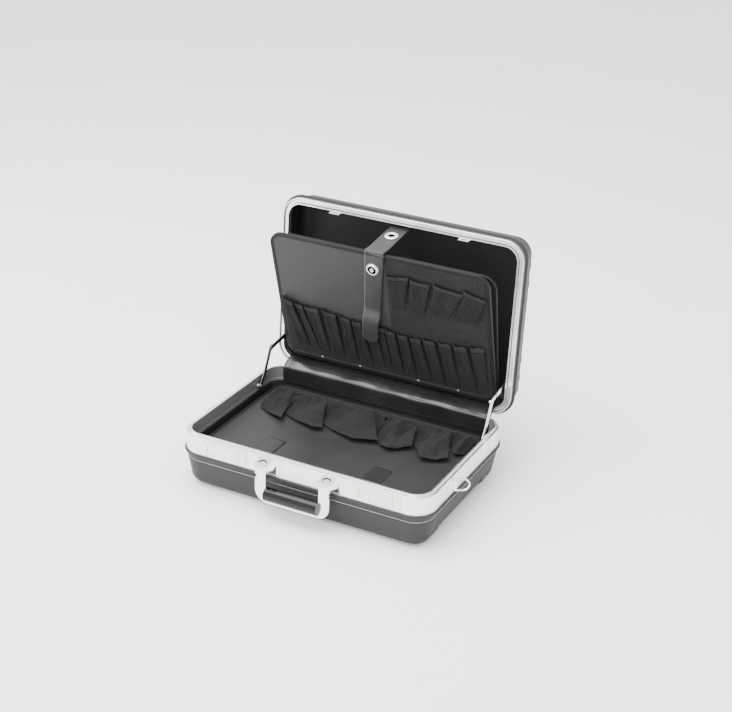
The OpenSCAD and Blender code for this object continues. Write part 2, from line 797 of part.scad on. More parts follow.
// Side outline of a link through the points p, with a bore at its first point only
module link_outline(p) {
    difference() {
        union() {
            for (i = [0:len(p) - 1]) translate(p[i])
                circle(i == 0 || i == len(p) - 1 ? stay_eye : stay_w / 2);
            for (i = [0:len(p) - 2])
                let (d = p[i + 1] - p[i], n = [-d[1], d[0]] / norm(d) * stay_w / 2)
                polygon([p[i] + n, p[i + 1] + n, p[i + 1] - n, p[i] - n]);
        }
        translate(p[0]) circle(stay_bore);
    }
}

// Draws on the right side, or mirrored on the left
module on_side(s) {
    if (s > 0) children();
    else mirror([1, 0, 0]) children();
}

module stay_lower(s) {
    knee = stay_foot + [15, 20];
    color([0.8, 0.8, 0.8]) at_origin() on_side(s) {
        yz_slab(stay_x_low - stay_t, stay_t) link_outline([stay_foot, knee, elbow]);
        rod_x(stay_x_low - eps, 1, elbow, stay_rivet_r + 1);
    }
}

module stay_upper(s) {
    color([0.8, 0.8, 0.8]) at_origin() on_side(s) {
        yz_slab(stay_x_up - stay_t, stay_t) link_outline([stay_head, elbow]);
        rod_x(stay_x_up - stay_t - 1 + eps, 1, elbow, stay_rivet_r + 1);
    }
}

module stay_lower_left() { stay_lower(-1); }
module stay_lower_right() { stay_lower(1); }
module stay_upper_left() { stay_upper(-1); }
module stay_upper_right() { stay_upper(1); }

module stay_base_brackets() {
    wall = half_w - base_inner;
    color([0.75, 0.75, 0.75]) at_origin() for (s = sides) on_side(s) {
        translate([wall - 1.5, stay_foot[0] - stay_plate_l / 2, stay_foot[1] - 4.5])
            cube([1.5, stay_plate_l, stay_plate_h]);
        rod_x(stay_x_low + gap, wall - 1 - stay_x_low - gap, stay_foot, stay_rivet_r + 1.5);
        rod_x(stay_x_low - stay_t - gap, wall - 1 - stay_x_low + stay_t + gap, stay_foot, stay_rivet_r);
        rod_x(stay_x_low - stay_t - gap - 1, 1 + eps, stay_foot, stay_rivet_r + 1.5);
    }
}

// The stay's head pivot on the closed lid
head_closed = [axis_y, axis_z] + [
    (stay_head[0] - axis_y) * cos(lid_open) - (stay_head[1] - axis_z) * sin(lid_open),
    (stay_head[0] - axis_y) * sin(lid_open) + (stay_head[1] - axis_z) * cos(lid_open),
];

// The lid shell's inner wall on the right side, at a height on the closed lid
function lid_wall_x(z) =
    let (z0 = lid_flange_z + flange_h, u0 = seam_inset + shell_wall)
    let (z1 = lid_face_z - lid_edge_r, u1 = seam_inset - seam_step + lid_draft + shell_wall)
    half_w - u0 - (z - z0) * (u1 - u0) / (z1 - z0);

module stay_lid_brackets() {
    low = head_closed[1] - 4;
    high = head_closed[1] + 9;
    inner = lid_wall_x(high) - 1.5;
    color([0.75, 0.75, 0.75]) on_lid() for (s = sides) on_side(s) {
        translate([0, head_closed[0] + 8, 0]) rotate([90, 0, 0]) linear_extrude(16) polygon([
            [inner, low], [lid_wall_x(low) - 0.05, low], [lid_wall_x(high) - 0.05, high], [inner, high],
        ]);
        rod_x(stay_x_up + gap, inner + 0.5 - stay_x_up - gap, head_closed, stay_rivet_r + 1.5);
        rod_x(stay_x_up - stay_t - gap, inner + 0.5 - stay_x_up + stay_t + gap, head_closed, stay_rivet_r);
        rod_x(stay_x_up - stay_t - gap - 1, 1 + eps, head_closed, stay_rivet_r + 1.5);
    }
}

// ---------------------------------------------------------------- lining and tool boards

// Where a point [y, z] of the closed lid goes when the lid is open
function opened(p) = [axis_y, axis_z] + [
    (p[0] - axis_y) * cos(lid_open) + (p[1] - axis_z) * sin(lid_open),
    (axis_y - p[0]) * sin(lid_open) + (p[1] - axis_z) * cos(lid_open),
];

flap_w = case_w - 2 * flap_side;
lining_w = case_w - 2 * corner_r - 2 * gap;

module back_lining() {
    color([0.12, 0.12, 0.12]) at_origin()
        translate([-lining_w / 2, half_d - lining_out - lining_t, lower_top + 2])
            cube([lining_w, lining_t, lower_drop - 2.5]);
}

module hinge_flap() {
    near = opened([half_d - lid_lip_in - 3, rim_z]);
    far = opened([half_d - lid_lip_in - 3, rim_z + 12]);
    start = [half_d - lining_out - lining_t, base_h + tongue_h + 0.7];
    color([0.15, 0.15, 0.15]) at_origin() yz_slab(-flap_w / 2, flap_w) polygon([
        start, [half_d - tongue_inset, start[1]], near, far, far + [0, flap_t],
        near + [-1, flap_t], start + [0, flap_t],
    ]);
}

// The flat panel of a board, inside its binding
module board_panel(w, h, t) {
    translate([0, 0, 1]) board_plate(w - 2, h - 2, t, board_r - 1);
}

// The binding that wraps a board's edge
module board_binding(w, h, t) {
    difference() {
        translate([0, -bind_t, 0]) board_plate(w, h, t + 2 * bind_t, board_r);
        translate([0, -bind_t - 1, bind_w])
            board_plate(w - 2 * bind_w, h - 2 * bind_w, t + 2 * bind_t + 2, board_r - bind_w);
        board_panel(w, h, t);
    }
}

rear_y = board_y + board_t + board_gap;

module front_board() {
    color([0.42, 0.42, 0.43]) on_board(board_y, front_lean) board_panel(board_w, board_h, board_t);
}

module front_board_binding() {
    color([0.2, 0.2, 0.2]) on_board(board_y, front_lean) board_binding(board_w, board_h, board_t);
}

pocket_side = board_w / 2 - bind_w - 4;

module front_pockets_lower() {
    color([0.2, 0.2, 0.2]) on_board(board_y, front_lean)
        translate([-pocket_side, -pocket_t, pocket_low]) cube([2 * pocket_side, pocket_t, pocket_low_h]);
}

module front_pockets_upper() {
    from = strap_w / 2 + 3;
    color([0.2, 0.2, 0.2]) on_board(board_y, front_lean)
        translate([from, -pocket_t, pocket_up]) cube([pocket_side - from, pocket_t, pocket_up_h]);
}

module front_board_rivets() {
    color([0.8, 0.8, 0.8]) on_board(board_y, front_lean) for (s = sides, x = [rivet_near, rivet_far])
        translate([s * x, -0.8, bind_w + 3.5]) rotate([-90, 0, 0]) cylinder(h = 0.8, r = 2.2);
}

module rear_board() {
    color([0.3, 0.3, 0.3]) on_board(rear_y, rear_lean) board_panel(board_w, rear_h, board_t);
}

module rear_board_binding() {
    color([0.2, 0.2, 0.2]) on_board(rear_y, rear_lean) board_binding(board_w, rear_h, board_t);
}

// ---------------------------------------------------------------- strap

// Places a strap piece in the front board's plane, hanging from the middle of its top edge
module on_strap() {
    on_board(board_y, front_lean) translate([strap_x, 0, board_h - 2])
        rotate([0, strap_tilt, 0]) children();
}

module strap_tail() {
    over = pocket_low + pocket_low_h - board_h + 11;
    tip = -strap_tail_l;
    face = -bind_t - 0.2;
    front = -pocket_t - 0.6;
    color([0.13, 0.13, 0.13]) on_strap() intersection() {
        yz_slab(-strap_w / 2, strap_w) polygon([
            [face, 2], [face - 0.4, over], [front, over - 8], [front - 0.2, tip],
            [front - 0.2 - strap_t, tip], [front - strap_t, over - 7.6],
            [face - 0.4 - strap_t, over + 0.4], [face - strap_t, 2],
        ]);
        rotate([90, 0, 0]) linear_extrude(pocket_t + 10) strap_outline(tip);
    }
}

// The strap seen from the front: straight, tapering a little, with a round end
module strap_outline(tip) {
    end = strap_w * 0.38;
    polygon([[-strap_w / 2, 2], [-end, tip + end], [end, tip + end], [strap_w / 2, 2]]);
    translate([0, tip + end]) circle(end);
}

// A point of the front board's plane, as world [y, z]
function on_front(y, z) = [
    board_y + y * cos(front_lean) - z * sin(front_lean),
    base_h + board_up + y * sin(front_lean) + z * cos(front_lean),
];

strap_root = opened([lid_lip_in - half_d - 2.6, rim_z + 20]);
strap_sag = opened([lid_lip_in - half_d + 5.5, rim_z + 9]);
strap_fold = on_front(-bind_t - 1, board_h + 2.5);
strap_rest = [
    rear_y + board_t * cos(rear_lean) - rear_h * sin(rear_lean),
    base_h + board_up + board_t * sin(rear_lean) + rear_h * cos(rear_lean) + strap_over,
];

module strap_bridge() {
    up = [0, strap_t];
    color([0.13, 0.13, 0.13]) at_origin() yz_slab(-strap_w / 2, strap_w)
        polygon([
            strap_fold, strap_rest, strap_sag, strap_root,
            strap_root + up * 0.9, strap_sag + up, strap_rest + up, strap_fold + up,
        ]);
}

module strap_anchor() {
    color([0.7, 0.7, 0.7]) on_lid() translate([-strap_w / 2, shell_in + 0.4 - half_d, rim_z + 13.5])
        cube([strap_w, 1.6, 9]);
}

module strap_eyelet() {
    run = strap_sag - strap_rest;
    mid = strap_rest + run * eyelet_at;
    color([0.85, 0.85, 0.85]) at_origin() translate([0, mid[0], mid[1]])
        rotate([atan2(run[1], run[0]), 0, 0]) translate([0, 0, strap_t + 0.1]) difference() {
            cylinder(h = 1.4, r = snap_r + 1);
            translate([0, 0, -1]) cylinder(h = 4, r = eyelet_hole_r);
        }
}

module snap_fastener() {
    color([0.85, 0.85, 0.85]) on_strap()
    translate([0, -bind_t - 0.7 - strap_t, -snap_drop]) rotate([90, 0, 0]) {
        difference() {
            cylinder(h = 2, r = snap_r);
            translate([0, 0, 1]) cylinder(h = 2, r = snap_r - 2);
        }
        cylinder(h = 4.2, r = snap_r - 4.5);
    }
}

// ---------------------------------------------------------------- base board

// A flat plate on the base board's plan, from height z upward
module lower_plate(w, d, z, t, r) {
    at_origin() translate([0, lower_back - (lower_d + d) / 2, z]) linear_extrude(t) rounded(w, d, r);
}

module base_board() {
    color([0.42, 0.42, 0.43])
        lower_plate(lower_w - 2, lower_d - 2, lower_top - lower_t, lower_t, board_r - 1);
}

module base_board_binding() {
    color([0.2, 0.2, 0.2]) difference() {
        lower_plate(lower_w, lower_d, lower_top - lower_t - bind_t, lower_t + 2 * bind_t, board_r);
        lower_plate(lower_w - 2 * bind_w, lower_d - 2 * bind_w, lower_top - lower_t - bind_t - 1,
            lower_t + 2 * bind_t + 2, board_r - bind_w);
        lower_plate(lower_w - 2, lower_d - 2, lower_top - lower_t, lower_t, board_r - 1);
    }
}

module base_pockets() {
    color([0.2, 0.2, 0.2]) at_origin()
        translate([
            lower_pocket_side - lower_w / 2,
            lower_back - lower_pocket_back - lower_pocket_d,
            lower_top,
        ]) cube([lower_w - 2 * lower_pocket_side, lower_pocket_d, lower_pocket_t]);
}

module pull_tabs() {
    color([0.15, 0.15, 0.15]) at_origin() for (s = sides)
        translate([s * tab_x - tab_w / 2, lower_back - lower_d + tab_front, lower_top])
            cube([tab_w, tab_l, tab_t]);
}

module board_ledges() {
    top = lower_top - lower_t - bind_t - 0.2;
    reach = half_d - seam_inset - shell_wall - 0.1;
    front = lower_back - lower_d + ledge_in;
    back = lower_back - ledge_in;
    color([0.2, 0.2, 0.2]) at_origin() {
        yz_slab(-ledge_l / 2, ledge_l) polygon([
            [-reach, top], [front, top], [front, top - 2], [2 - reach, top - 2], [2 - reach, top - 9],
            [-reach, top - 9],
        ]);
        yz_slab(-ledge_l / 2, ledge_l) polygon([
            [reach, top], [back, top], [back, top - 2], [reach - 2, top - 2], [reach - 2, top - 9],
            [reach, top - 9],
        ]);
    }
}

// ---------------------------------------------------------------- the case

base_shell();
base_frame();
lid_shell();
lid_frame();
hinge_base_leaves();
hinge_lid_leaves();
hinge_pins();
latch_plates();
latch_lever_left();
latch_lever_right();
latch_pins();
key_cylinder_left();
key_cylinder_right();
lock_bolt_left();
lock_bolt_right();
bolt_guides();
lid_catches();
handle_brackets();
handle_pins();
handle_bow();
handle_grip();
ring_brackets();
strap_ring_left();
strap_ring_right();
stay_base_brackets();
stay_lid_brackets();
stay_lower_left();
stay_lower_right();
stay_upper_left();
stay_upper_right();
hinge_flap();
back_lining();
front_board();
front_board_binding();
front_pockets_lower();
front_pockets_upper();
front_board_rivets();
rear_board();
rear_board_binding();
strap_tail();
strap_bridge();
strap_anchor();
strap_eyelet();
snap_fastener();
base_board();
base_board_binding();
base_pockets();
pull_tabs();
board_ledges();
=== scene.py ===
import math

import bpy
import numpy as np
from mathutils import Matrix, Vector, noise

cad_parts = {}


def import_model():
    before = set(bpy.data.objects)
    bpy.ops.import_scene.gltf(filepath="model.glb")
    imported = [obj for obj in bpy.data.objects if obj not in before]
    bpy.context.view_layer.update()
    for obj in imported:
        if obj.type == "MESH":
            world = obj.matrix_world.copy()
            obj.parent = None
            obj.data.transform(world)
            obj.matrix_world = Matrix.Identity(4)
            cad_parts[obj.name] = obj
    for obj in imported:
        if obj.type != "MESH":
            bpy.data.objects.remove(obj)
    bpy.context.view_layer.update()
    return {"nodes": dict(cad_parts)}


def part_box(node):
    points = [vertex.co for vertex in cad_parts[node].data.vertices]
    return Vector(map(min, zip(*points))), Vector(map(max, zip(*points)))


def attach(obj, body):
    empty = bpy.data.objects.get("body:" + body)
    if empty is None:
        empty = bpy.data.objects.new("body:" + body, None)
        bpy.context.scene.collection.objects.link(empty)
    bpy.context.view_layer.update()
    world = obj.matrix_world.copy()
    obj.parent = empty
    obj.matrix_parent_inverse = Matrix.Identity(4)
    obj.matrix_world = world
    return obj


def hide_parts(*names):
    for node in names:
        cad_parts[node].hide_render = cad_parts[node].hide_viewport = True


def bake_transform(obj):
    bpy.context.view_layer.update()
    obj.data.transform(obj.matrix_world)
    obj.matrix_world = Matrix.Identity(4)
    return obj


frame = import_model()
nodes = frame["nodes"]

# ---------------------------------------------------------------- places
# Case coordinates are millimetres: x along the front, y back from the base's middle, z up.
band_lo, band_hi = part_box("base_frame")
MID_X = (band_lo.x + band_hi.x) / 2 * 1000
MID_Y = (band_lo.y + band_hi.y) / 2 * 1000
SHOULDER = 102.0
HALF_W, HALF_D, CORNER = 240.0, 164.0, 38
# The lid's hinge line as (y, z) and how far the lid is open
AXIS = (171.1, 96.7)
OPEN = math.radians(93.3)
# The front tool board's foot as (y, z) and its lean
BOARD_FOOT = (177, 126)
LEAN = math.radians(15.9)


def world(x, y, z):
    """Case millimetres to the row frame's metres."""
    return Vector(((x + MID_X) / 1000, (y + MID_Y) / 1000, z / 1000))


def front_board(x, d, v):
    """A point of the front tool board: x along it, d behind its face (negative in front), v up it."""
    return world(x, BOARD_FOOT[0] + d * math.cos(LEAN) - v * math.sin(LEAN),
                 BOARD_FOOT[1] + d * math.sin(LEAN) + v * math.cos(LEAN))


def on_lid(x, y, z):
    """A point of the closed lid, carried to the open lid."""
    dy, dz = y - AXIS[0], z - AXIS[1]
    return world(x, AXIS[0] + dy * math.cos(OPEN) + dz * math.sin(OPEN),
                 AXIS[1] - dy * math.sin(OPEN) + dz * math.cos(OPEN))


# ---------------------------------------------------------------- materials

def new_material(name):
    m = bpy.data.materials.new(name)
    m.use_nodes = True
    nt = m.node_tree
    nt.nodes.clear()
    out = nt.nodes.new("ShaderNodeOutputMaterial")
    bsdf = nt.nodes.new("ShaderNodeBsdfPrincipled")
    nt.links.new(bsdf.outputs[0], out.inputs[0])
    return m, nt, bsdf


def coords(nt, scale=(1, 1, 1)):
    tc = nt.nodes.new("ShaderNodeTexCoord")
    mp = nt.nodes.new("ShaderNodeMapping")
    mp.inputs["Scale"].default_value = scale
    nt.links.new(tc.outputs["Object"], mp.inputs["Vector"])
    return mp.outputs["Vector"]


def noise_at(nt, vec, scale, detail=3.0, rough=0.5):
    n = nt.nodes.new("ShaderNodeTexNoise")
    n.inputs["Scale"].default_value = scale
    n.inputs["Detail"].default_value = detail
    n.inputs["Roughness"].default_value = rough
    nt.links.new(vec, n.inputs["Vector"])
    return n.outputs["Fac"]


def ramp(nt, fac, stops):
    r = nt.nodes.new("ShaderNodeValToRGB")
    e = r.color_ramp.elements
    while len(e) < len(stops):
        e.new(0.5)
    for el, (p, c) in zip(e, stops):
        el.position = p
        el.color = (*c, 1) if len(c) == 3 else c
    nt.links.new(fac, r.inputs["Fac"])
    return r.outputs["Color"]


def span(nt, fac, lo, hi, a=0.0, b=1.0):
    m = nt.nodes.new("ShaderNodeMapRange")
    m.inputs["From Min"].default_value = a
    m.inputs["From Max"].default_value = b
    m.inputs["To Min"].default_value = lo
    m.inputs["To Max"].default_value = hi
    nt.links.new(fac, m.inputs["Value"])
    return m.outputs["Result"]


def mix(nt, fac, a, b):
    m = nt.nodes.new("ShaderNodeMix")
    m.data_type = "RGBA"
    if isinstance(fac, float):
        m.inputs[0].default_value = fac
    else:
        nt.links.new(fac, m.inputs[0])
    for i, v in ((6, a), (7, b)):
        if isinstance(v, tuple):
            m.inputs[i].default_value = (*v, 1)
        else:
            nt.links.new(v, m.inputs[i])
    return m.outputs[2]


def math_node(nt, op, a, b=None):
    m = nt.nodes.new("ShaderNodeMath")
    m.operation = op
    for i, v in enumerate((a, b)):
        if v is None:
            continue
        if isinstance(v, (int, float)):
            m.inputs[i].default_value = v
        else:
            nt.links.new(v, m.inputs[i])
    return m.outputs[0]


def bump(nt, bsdf, height, strength, distance):
    b = nt.nodes.new("ShaderNodeBump")
    b.inputs["Strength"].default_value = strength
    b.inputs["Distance"].default_value = distance
    nt.links.new(height, b.inputs["Height"])
    nt.links.new(b.outputs["Normal"], bsdf.inputs["Normal"])


def near_plane(nt, vec, point, normal, width):
    """1 on a plane and 0 farther from it than width, in metres."""
    d = nt.nodes.new("ShaderNodeVectorMath")
    d.operation = "DOT_PRODUCT"
    nt.links.new(vec, d.inputs[0])
    d.inputs[1].default_value = normal
    level = float(Vector(point).dot(normal))
    off = math_node(nt, "ABSOLUTE", math_node(nt, "SUBTRACT", d.outputs["Value"], level))
    return span(nt, off, 1.0, 0.0, width * 0.5, width)


# Light grey of the painted highlight line along each shell's seam
SEAM_HIGHLIGHT_TONE = (0.42, 0.42, 0.43)


def plastic(name, dark, light, rough=(0.42, 0.55), grain=900.0, depth=0.00012, spec=0.5,
            shade_inside=None, edge=None):
    """Moulded plastic with a fine pebbled grain. The inside argument paints shade on its inner walls in
    its colour, and edge is the plane of a painted highlight line along the seam."""
    m, nt, b = new_material(name)
    v = coords(nt)
    cloud = noise_at(nt, v, 9.0, 4)
    pebble = nt.nodes.new("ShaderNodeTexVoronoi")
    pebble.inputs["Scale"].default_value = grain
    nt.links.new(v, pebble.inputs["Vector"])
    fine = noise_at(nt, v, grain * 1.3, 2)
    col = ramp(nt, cloud, [(0.3, dark), (0.7, light)])
    col = mix(nt, span(nt, pebble.outputs["Distance"], 0.0, 0.35), col, tuple(c * 0.7 for c in dark))
    # Painted shade: faces that look towards the middle of the tray take the darker colour of its inner
    # walls
    if shade_inside:
        inner = inward(nt, v, shade_inside["centre"])
        col = mix(nt, inner, col, shade_inside["colour"])
    # Painted highlight: a light grey line along the seam's plane, kept off the inner walls
    if edge:
        line = near_plane(nt, v, *edge)
        if shade_inside:
            line = math_node(nt, "MULTIPLY", line, math_node(nt, "SUBTRACT", 1.0, inner))
        col = mix(nt, line, col, SEAM_HIGHLIGHT_TONE)
    nt.links.new(col, b.inputs["Base Color"])
    nt.links.new(span(nt, cloud, rough[0], rough[1], 0.3, 0.7), b.inputs["Roughness"])
    h = math_node(nt, "ADD", pebble.outputs["Distance"], math_node(nt, "MULTIPLY", fine, 0.5))
    bump(nt, b, h, 0.35, depth)
    b.inputs["Specular IOR Level"].default_value = spec
    return m


def inward(nt, vec, centre):
    """1 where a face looks towards the middle of its tray, else 0."""
    geo = nt.nodes.new("ShaderNodeNewGeometry")
    place, facing = nt.nodes.new("ShaderNodeSeparateXYZ"), nt.nodes.new("ShaderNodeSeparateXYZ")
    nt.links.new(vec, place.inputs[0])
    own = nt.nodes.new("ShaderNodeVectorTransform")
    own.vector_type, own.convert_from, own.convert_to = "NORMAL", "WORLD", "OBJECT"
    nt.links.new(geo.outputs["True Normal"], own.inputs[0])
    nt.links.new(own.outputs[0], facing.inputs[0])
    dot = None
    for i, c in enumerate(centre):
        out = math_node(nt, "SUBTRACT", place.outputs[i], c)
        t = math_node(nt, "MULTIPLY", out, facing.outputs[i])
        dot = t if dot is None else math_node(nt, "ADD", dot, t)
    return math_node(nt, "LESS_THAN", dot, 0.0)


def metal(name, dark, light, rough=(0.2, 0.32), stretch=(1, 1, 1), depth=0.00002, scale=400.0,
          wear=0.12, shade_inside=None):
    """Metal with fine brushed lines along the direction where stretch is small, and duller scuffs. The
    inside argument paints shade on its inner walls, which turn grey and less metallic there.
    """
    m, nt, b = new_material(name)
    v = coords(nt, stretch)
    plain = coords(nt)
    lines = noise_at(nt, v, scale, 3, 0.6)
    scuff = noise_at(nt, plain, 28.0, 6, 0.65)
    col = ramp(nt, lines, [(0.25, dark), (0.75, light)])
    col = mix(nt, span(nt, scuff, 0.0, wear, 0.5, 0.75), col, tuple(c * 0.6 for c in dark))
    nt.links.new(col, b.inputs["Base Color"])
    r = math_node(nt, "ADD", span(nt, lines, rough[0], rough[1], 0.2, 0.8),
                  span(nt, scuff, 0.0, 0.1, 0.5, 0.8))
    nt.links.new(r, b.inputs["Roughness"])
    b.inputs["Metallic"].default_value = 1.0
    # Painted shade: the inner walls turn grey and less metallic
    if shade_inside:
        side = inward(nt, plain, shade_inside["centre"])
        nt.links.new(mix(nt, side, col, shade_inside["colour"]), b.inputs["Base Color"])
        nt.links.new(span(nt, side, 1.0, 0.25), b.inputs["Metallic"])
    bump(nt, b, lines, 0.25, depth)
    return m


def leatherette(name, dark, light, rough=(0.32, 0.5), grain=520.0, depth=0.00025, coat=0.0,
                crease_tone=0.6, spec=0.5):
    """Leather or leatherette: small cells of grain with creases between them, with a coat if it shines."""
    m, nt, b = new_material(name)
    v = coords(nt)
    cells = nt.nodes.new("ShaderNodeTexVoronoi")
    cells.feature = "DISTANCE_TO_EDGE"
    cells.inputs["Scale"].default_value = grain
    warp = nt.nodes.new("ShaderNodeVectorMath")
    warp.operation = "ADD"
    nz = nt.nodes.new("ShaderNodeTexNoise")
    nz.inputs["Scale"].default_value = 160.0
    nt.links.new(v, nz.inputs["Vector"])
    sc = nt.nodes.new("ShaderNodeVectorMath")
    sc.operation = "SCALE"
    sc.inputs["Scale"].default_value = 0.0022
    nt.links.new(nz.outputs["Color"], sc.inputs[0])
    nt.links.new(v, warp.inputs[0])
    nt.links.new(sc.outputs[0], warp.inputs[1])
    nt.links.new(warp.outputs[0], cells.inputs["Vector"])
    crease = span(nt, cells.outputs["Distance"], 0.0, 1.0, 0.0, 0.12)
    cloud = noise_at(nt, v, 14.0, 4)
    col = ramp(nt, cloud, [(0.3, dark), (0.72, light)])
    if crease_tone < 1:
        col = mix(nt, crease, tuple(c * crease_tone for c in dark), col)
    nt.links.new(col, b.inputs["Base Color"])
    nt.links.new(span(nt, cloud, rough[0], rough[1], 0.3, 0.7), b.inputs["Roughness"])
    b.inputs["Specular IOR Level"].default_value = spec
    bump(nt, b, crease, 0.3, depth)
    if coat:
        b.inputs["Coat Weight"].default_value = coat
        b.inputs["Coat Roughness"].default_value = 0.25
    return m


def fabric(name, dark, light, thread=0.0014, depth=0.0004):
    """A coarse woven cloth: uneven threads both ways, slubs and a little fuzz."""
    m, nt, b = new_material(name)
    v = coords(nt)
    waves = []
    for axis in ("X", "Z", "Y"):
        w = nt.nodes.new("ShaderNodeTexWave")
        w.bands_direction = axis
        w.inputs["Scale"].default_value = 0.314 / thread
        w.inputs["Distortion"].default_value = 3.0
        w.inputs["Detail"].default_value = 2.0
        w.inputs["Detail Scale"].default_value = 2.2
        nt.links.new(v, w.inputs["Vector"])
        waves.append(w.outputs["Fac"])
    weave = math_node(nt, "MULTIPLY", waves[0], math_node(nt, "MAXIMUM", waves[1], waves[2]))
    cloud = noise_at(nt, v, 30.0, 5)
    slub = noise_at(nt, v, 420.0, 3, 0.7)
    col = ramp(nt, cloud, [(0.3, dark), (0.7, light)])
    col = mix(nt, span(nt, weave, 0.0, 0.3), col, tuple(c * 0.4 for c in dark))
    col = mix(nt, span(nt, slub, 0.0, 0.7, 0.45, 0.75), col, tuple(c * 2.1 for c in light))
    nt.links.new(col, b.inputs["Base Color"])
    b.inputs["Roughness"].default_value = 0.95
    b.inputs["Sheen Weight"].default_value = 0.03
    b.inputs["Sheen Roughness"].default_value = 0.6
    bump(nt, b, math_node(nt, "ADD", weave, math_node(nt, "MULTIPLY", slub, 0.8)), 0.5, depth)
    b.inputs["Specular IOR Level"].default_value = 0.08
    return m


# The middle of each tray with the colour of the painted shade on its inner walls, and the plane of each
# shell's painted highlight line along its seam
BASE_IN_SHADE = {"centre": tuple(world(0, 0, 60)), "colour": (0.024, 0.024, 0.0255)}
BAND_IN_SHADE = {"centre": tuple(world(0, 0, 88)), "colour": (0.15, 0.151, 0.155)}
LID_IN_SHADE = {"centre": tuple(on_lid(0, 0, 132)), "colour": (0.0115, 0.0115, 0.0125)}
# Width of the painted highlight line, and the plane of each shell's seam that it lies on
SEAM_HIGHLIGHT_W = 0.0007
BASE_SEAM_HIGHLIGHT = (world(0, 0, 53.9), Vector((0, 0, 1)), SEAM_HIGHLIGHT_W)
LID_SEAM_HIGHLIGHT = (on_lid(0, 0, 123.6), Vector((0, math.sin(OPEN), math.cos(OPEN))), SEAM_HIGHLIGHT_W)
# Tones that more than one material has, each as its dark and its light end
SHELL = ((0.021, 0.0213, 0.0225), (0.028, 0.0283, 0.0295))
ALU = ((0.84, 0.85, 0.86), (0.95, 0.95, 0.96))
M = {
    "shell_base": plastic("abs_base", *SHELL, (0.5, 0.62), spec=0.28, shade_inside=BASE_IN_SHADE, edge=BASE_SEAM_HIGHLIGHT),
    "shell_lid": plastic("abs_lid", *SHELL, (0.5, 0.62), spec=0.28, shade_inside=LID_IN_SHADE, edge=LID_SEAM_HIGHLIGHT),
    "alu": metal("satin_aluminium", *ALU, (0.26, 0.38), (1, 1, 14), scale=120),
    "alu_base": metal("satin_aluminium_base", *ALU, (0.26, 0.38), (1, 1, 14), scale=120,
                      shade_inside=BAND_IN_SHADE),
    "chrome": metal("bright_chrome", (0.88, 0.88, 0.90), (0.95, 0.95, 0.96), (0.08, 0.16),
                    scale=300, wear=0.06),
    # Darker steel as painted shade, for the left stay's arms only
    "shaded_stay_steel": metal("shaded_stay_steel", (0.10, 0.10, 0.105), (0.20, 0.20, 0.21), (0.25, 0.4), scale=200),
    "nickel": metal("satin_nickel", (0.84, 0.81, 0.73), (0.94, 0.91, 0.84), (0.3, 0.42), (1, 10, 12),
                    scale=150),
    "zinc": metal("zinc_plate", (0.5, 0.51, 0.52), (0.66, 0.67, 0.68), (0.3, 0.45), scale=200),
    "grip": plastic("gloss_grip", (0.0035, 0.0035, 0.004), (0.006, 0.006, 0.0066), (0.10, 0.16),
                    1500, 0.00001, 0.32),
    "black": plastic("black_plastic", (0.009, 0.009, 0.009), (0.015, 0.015, 0.015), (0.4, 0.5)),
    # Near-black painted shade for holes, wells and slots
    "painted_shade": plastic("painted_shade_black", (0.0008, 0.0008, 0.0008), (0.0016, 0.0016, 0.0016), (0.8, 0.95),
                    spec=0.02),
    # Pale grey plastic stands in for the rivets' metal: a painted reflection that makes them read light
    "rivet": plastic("rivet_painted_reflection", (0.22, 0.22, 0.225), (0.32, 0.32, 0.325), (0.3, 0.42),
                     1500, 0.00002, 0.6),
    # Dark grey for the lines along the lid's rim
    "rim_line_grey": plastic("rim_line", (0.10, 0.10, 0.105), (0.16, 0.16, 0.165), (0.5, 0.65),
                    1200, 0.00004, 0.3),
    "panel": plastic("panel_grey", (0.027, 0.027, 0.0283), (0.034, 0.034, 0.0357), (0.5, 0.62),
                     700, 0.00015, 0.25),
    "floor_panel": plastic("base_panel_grey", (0.019, 0.019, 0.020), (0.027, 0.027, 0.0285),
                           (0.42, 0.54), 700, 0.00015, 0.28),
    "core": plastic("board_core", (0.016, 0.016, 0.0165), (0.024, 0.024, 0.025), (0.45, 0.55),
                    700, spec=0.3),
    "bind": leatherette("bound_edge", (0.006, 0.006, 0.0064), (0.010, 0.010, 0.0107), (0.55, 0.7),
                        700, spec=0.22),
    "flap": leatherette("flap_leatherette", (0.008, 0.008, 0.0084), (0.014, 0.014, 0.0147),
                        (0.20, 0.28), 900, 0.00002, coat=0.35, crease_tone=1.0),
    "strap": leatherette("strap_leather", (0.017, 0.017, 0.018), (0.028, 0.028, 0.029), (0.34, 0.46),
                         650, 0.00015),
    "tab": leatherette("tab_leather", (0.009, 0.009, 0.0095), (0.013, 0.013, 0.0136), (0.4, 0.52),
                       650, 0.00012),
    "cloth": fabric("pocket_cloth", (0.0065, 0.0065, 0.007), (0.0115, 0.0115, 0.012)),
    "backing": fabric("backing_cloth", (0.010, 0.010, 0.0105), (0.015, 0.015, 0.0155)),
    "loose": fabric("loose_pocket_cloth", (0.0075, 0.0075, 0.008), (0.013, 0.013, 0.0136)),
    "hem": fabric("pocket_hem", (0.012, 0.012, 0.0125), (0.019, 0.019, 0.020)),
    "bright": metal("bright_nickel", (0.86, 0.86, 0.87), (0.95, 0.95, 0.95), (0.3, 0.4),
                    scale=300, wear=0.05),
    "thread": plastic("stitch_thread", (0.05, 0.05, 0.052), (0.09, 0.09, 0.092), (0.6, 0.8), 2000),
}

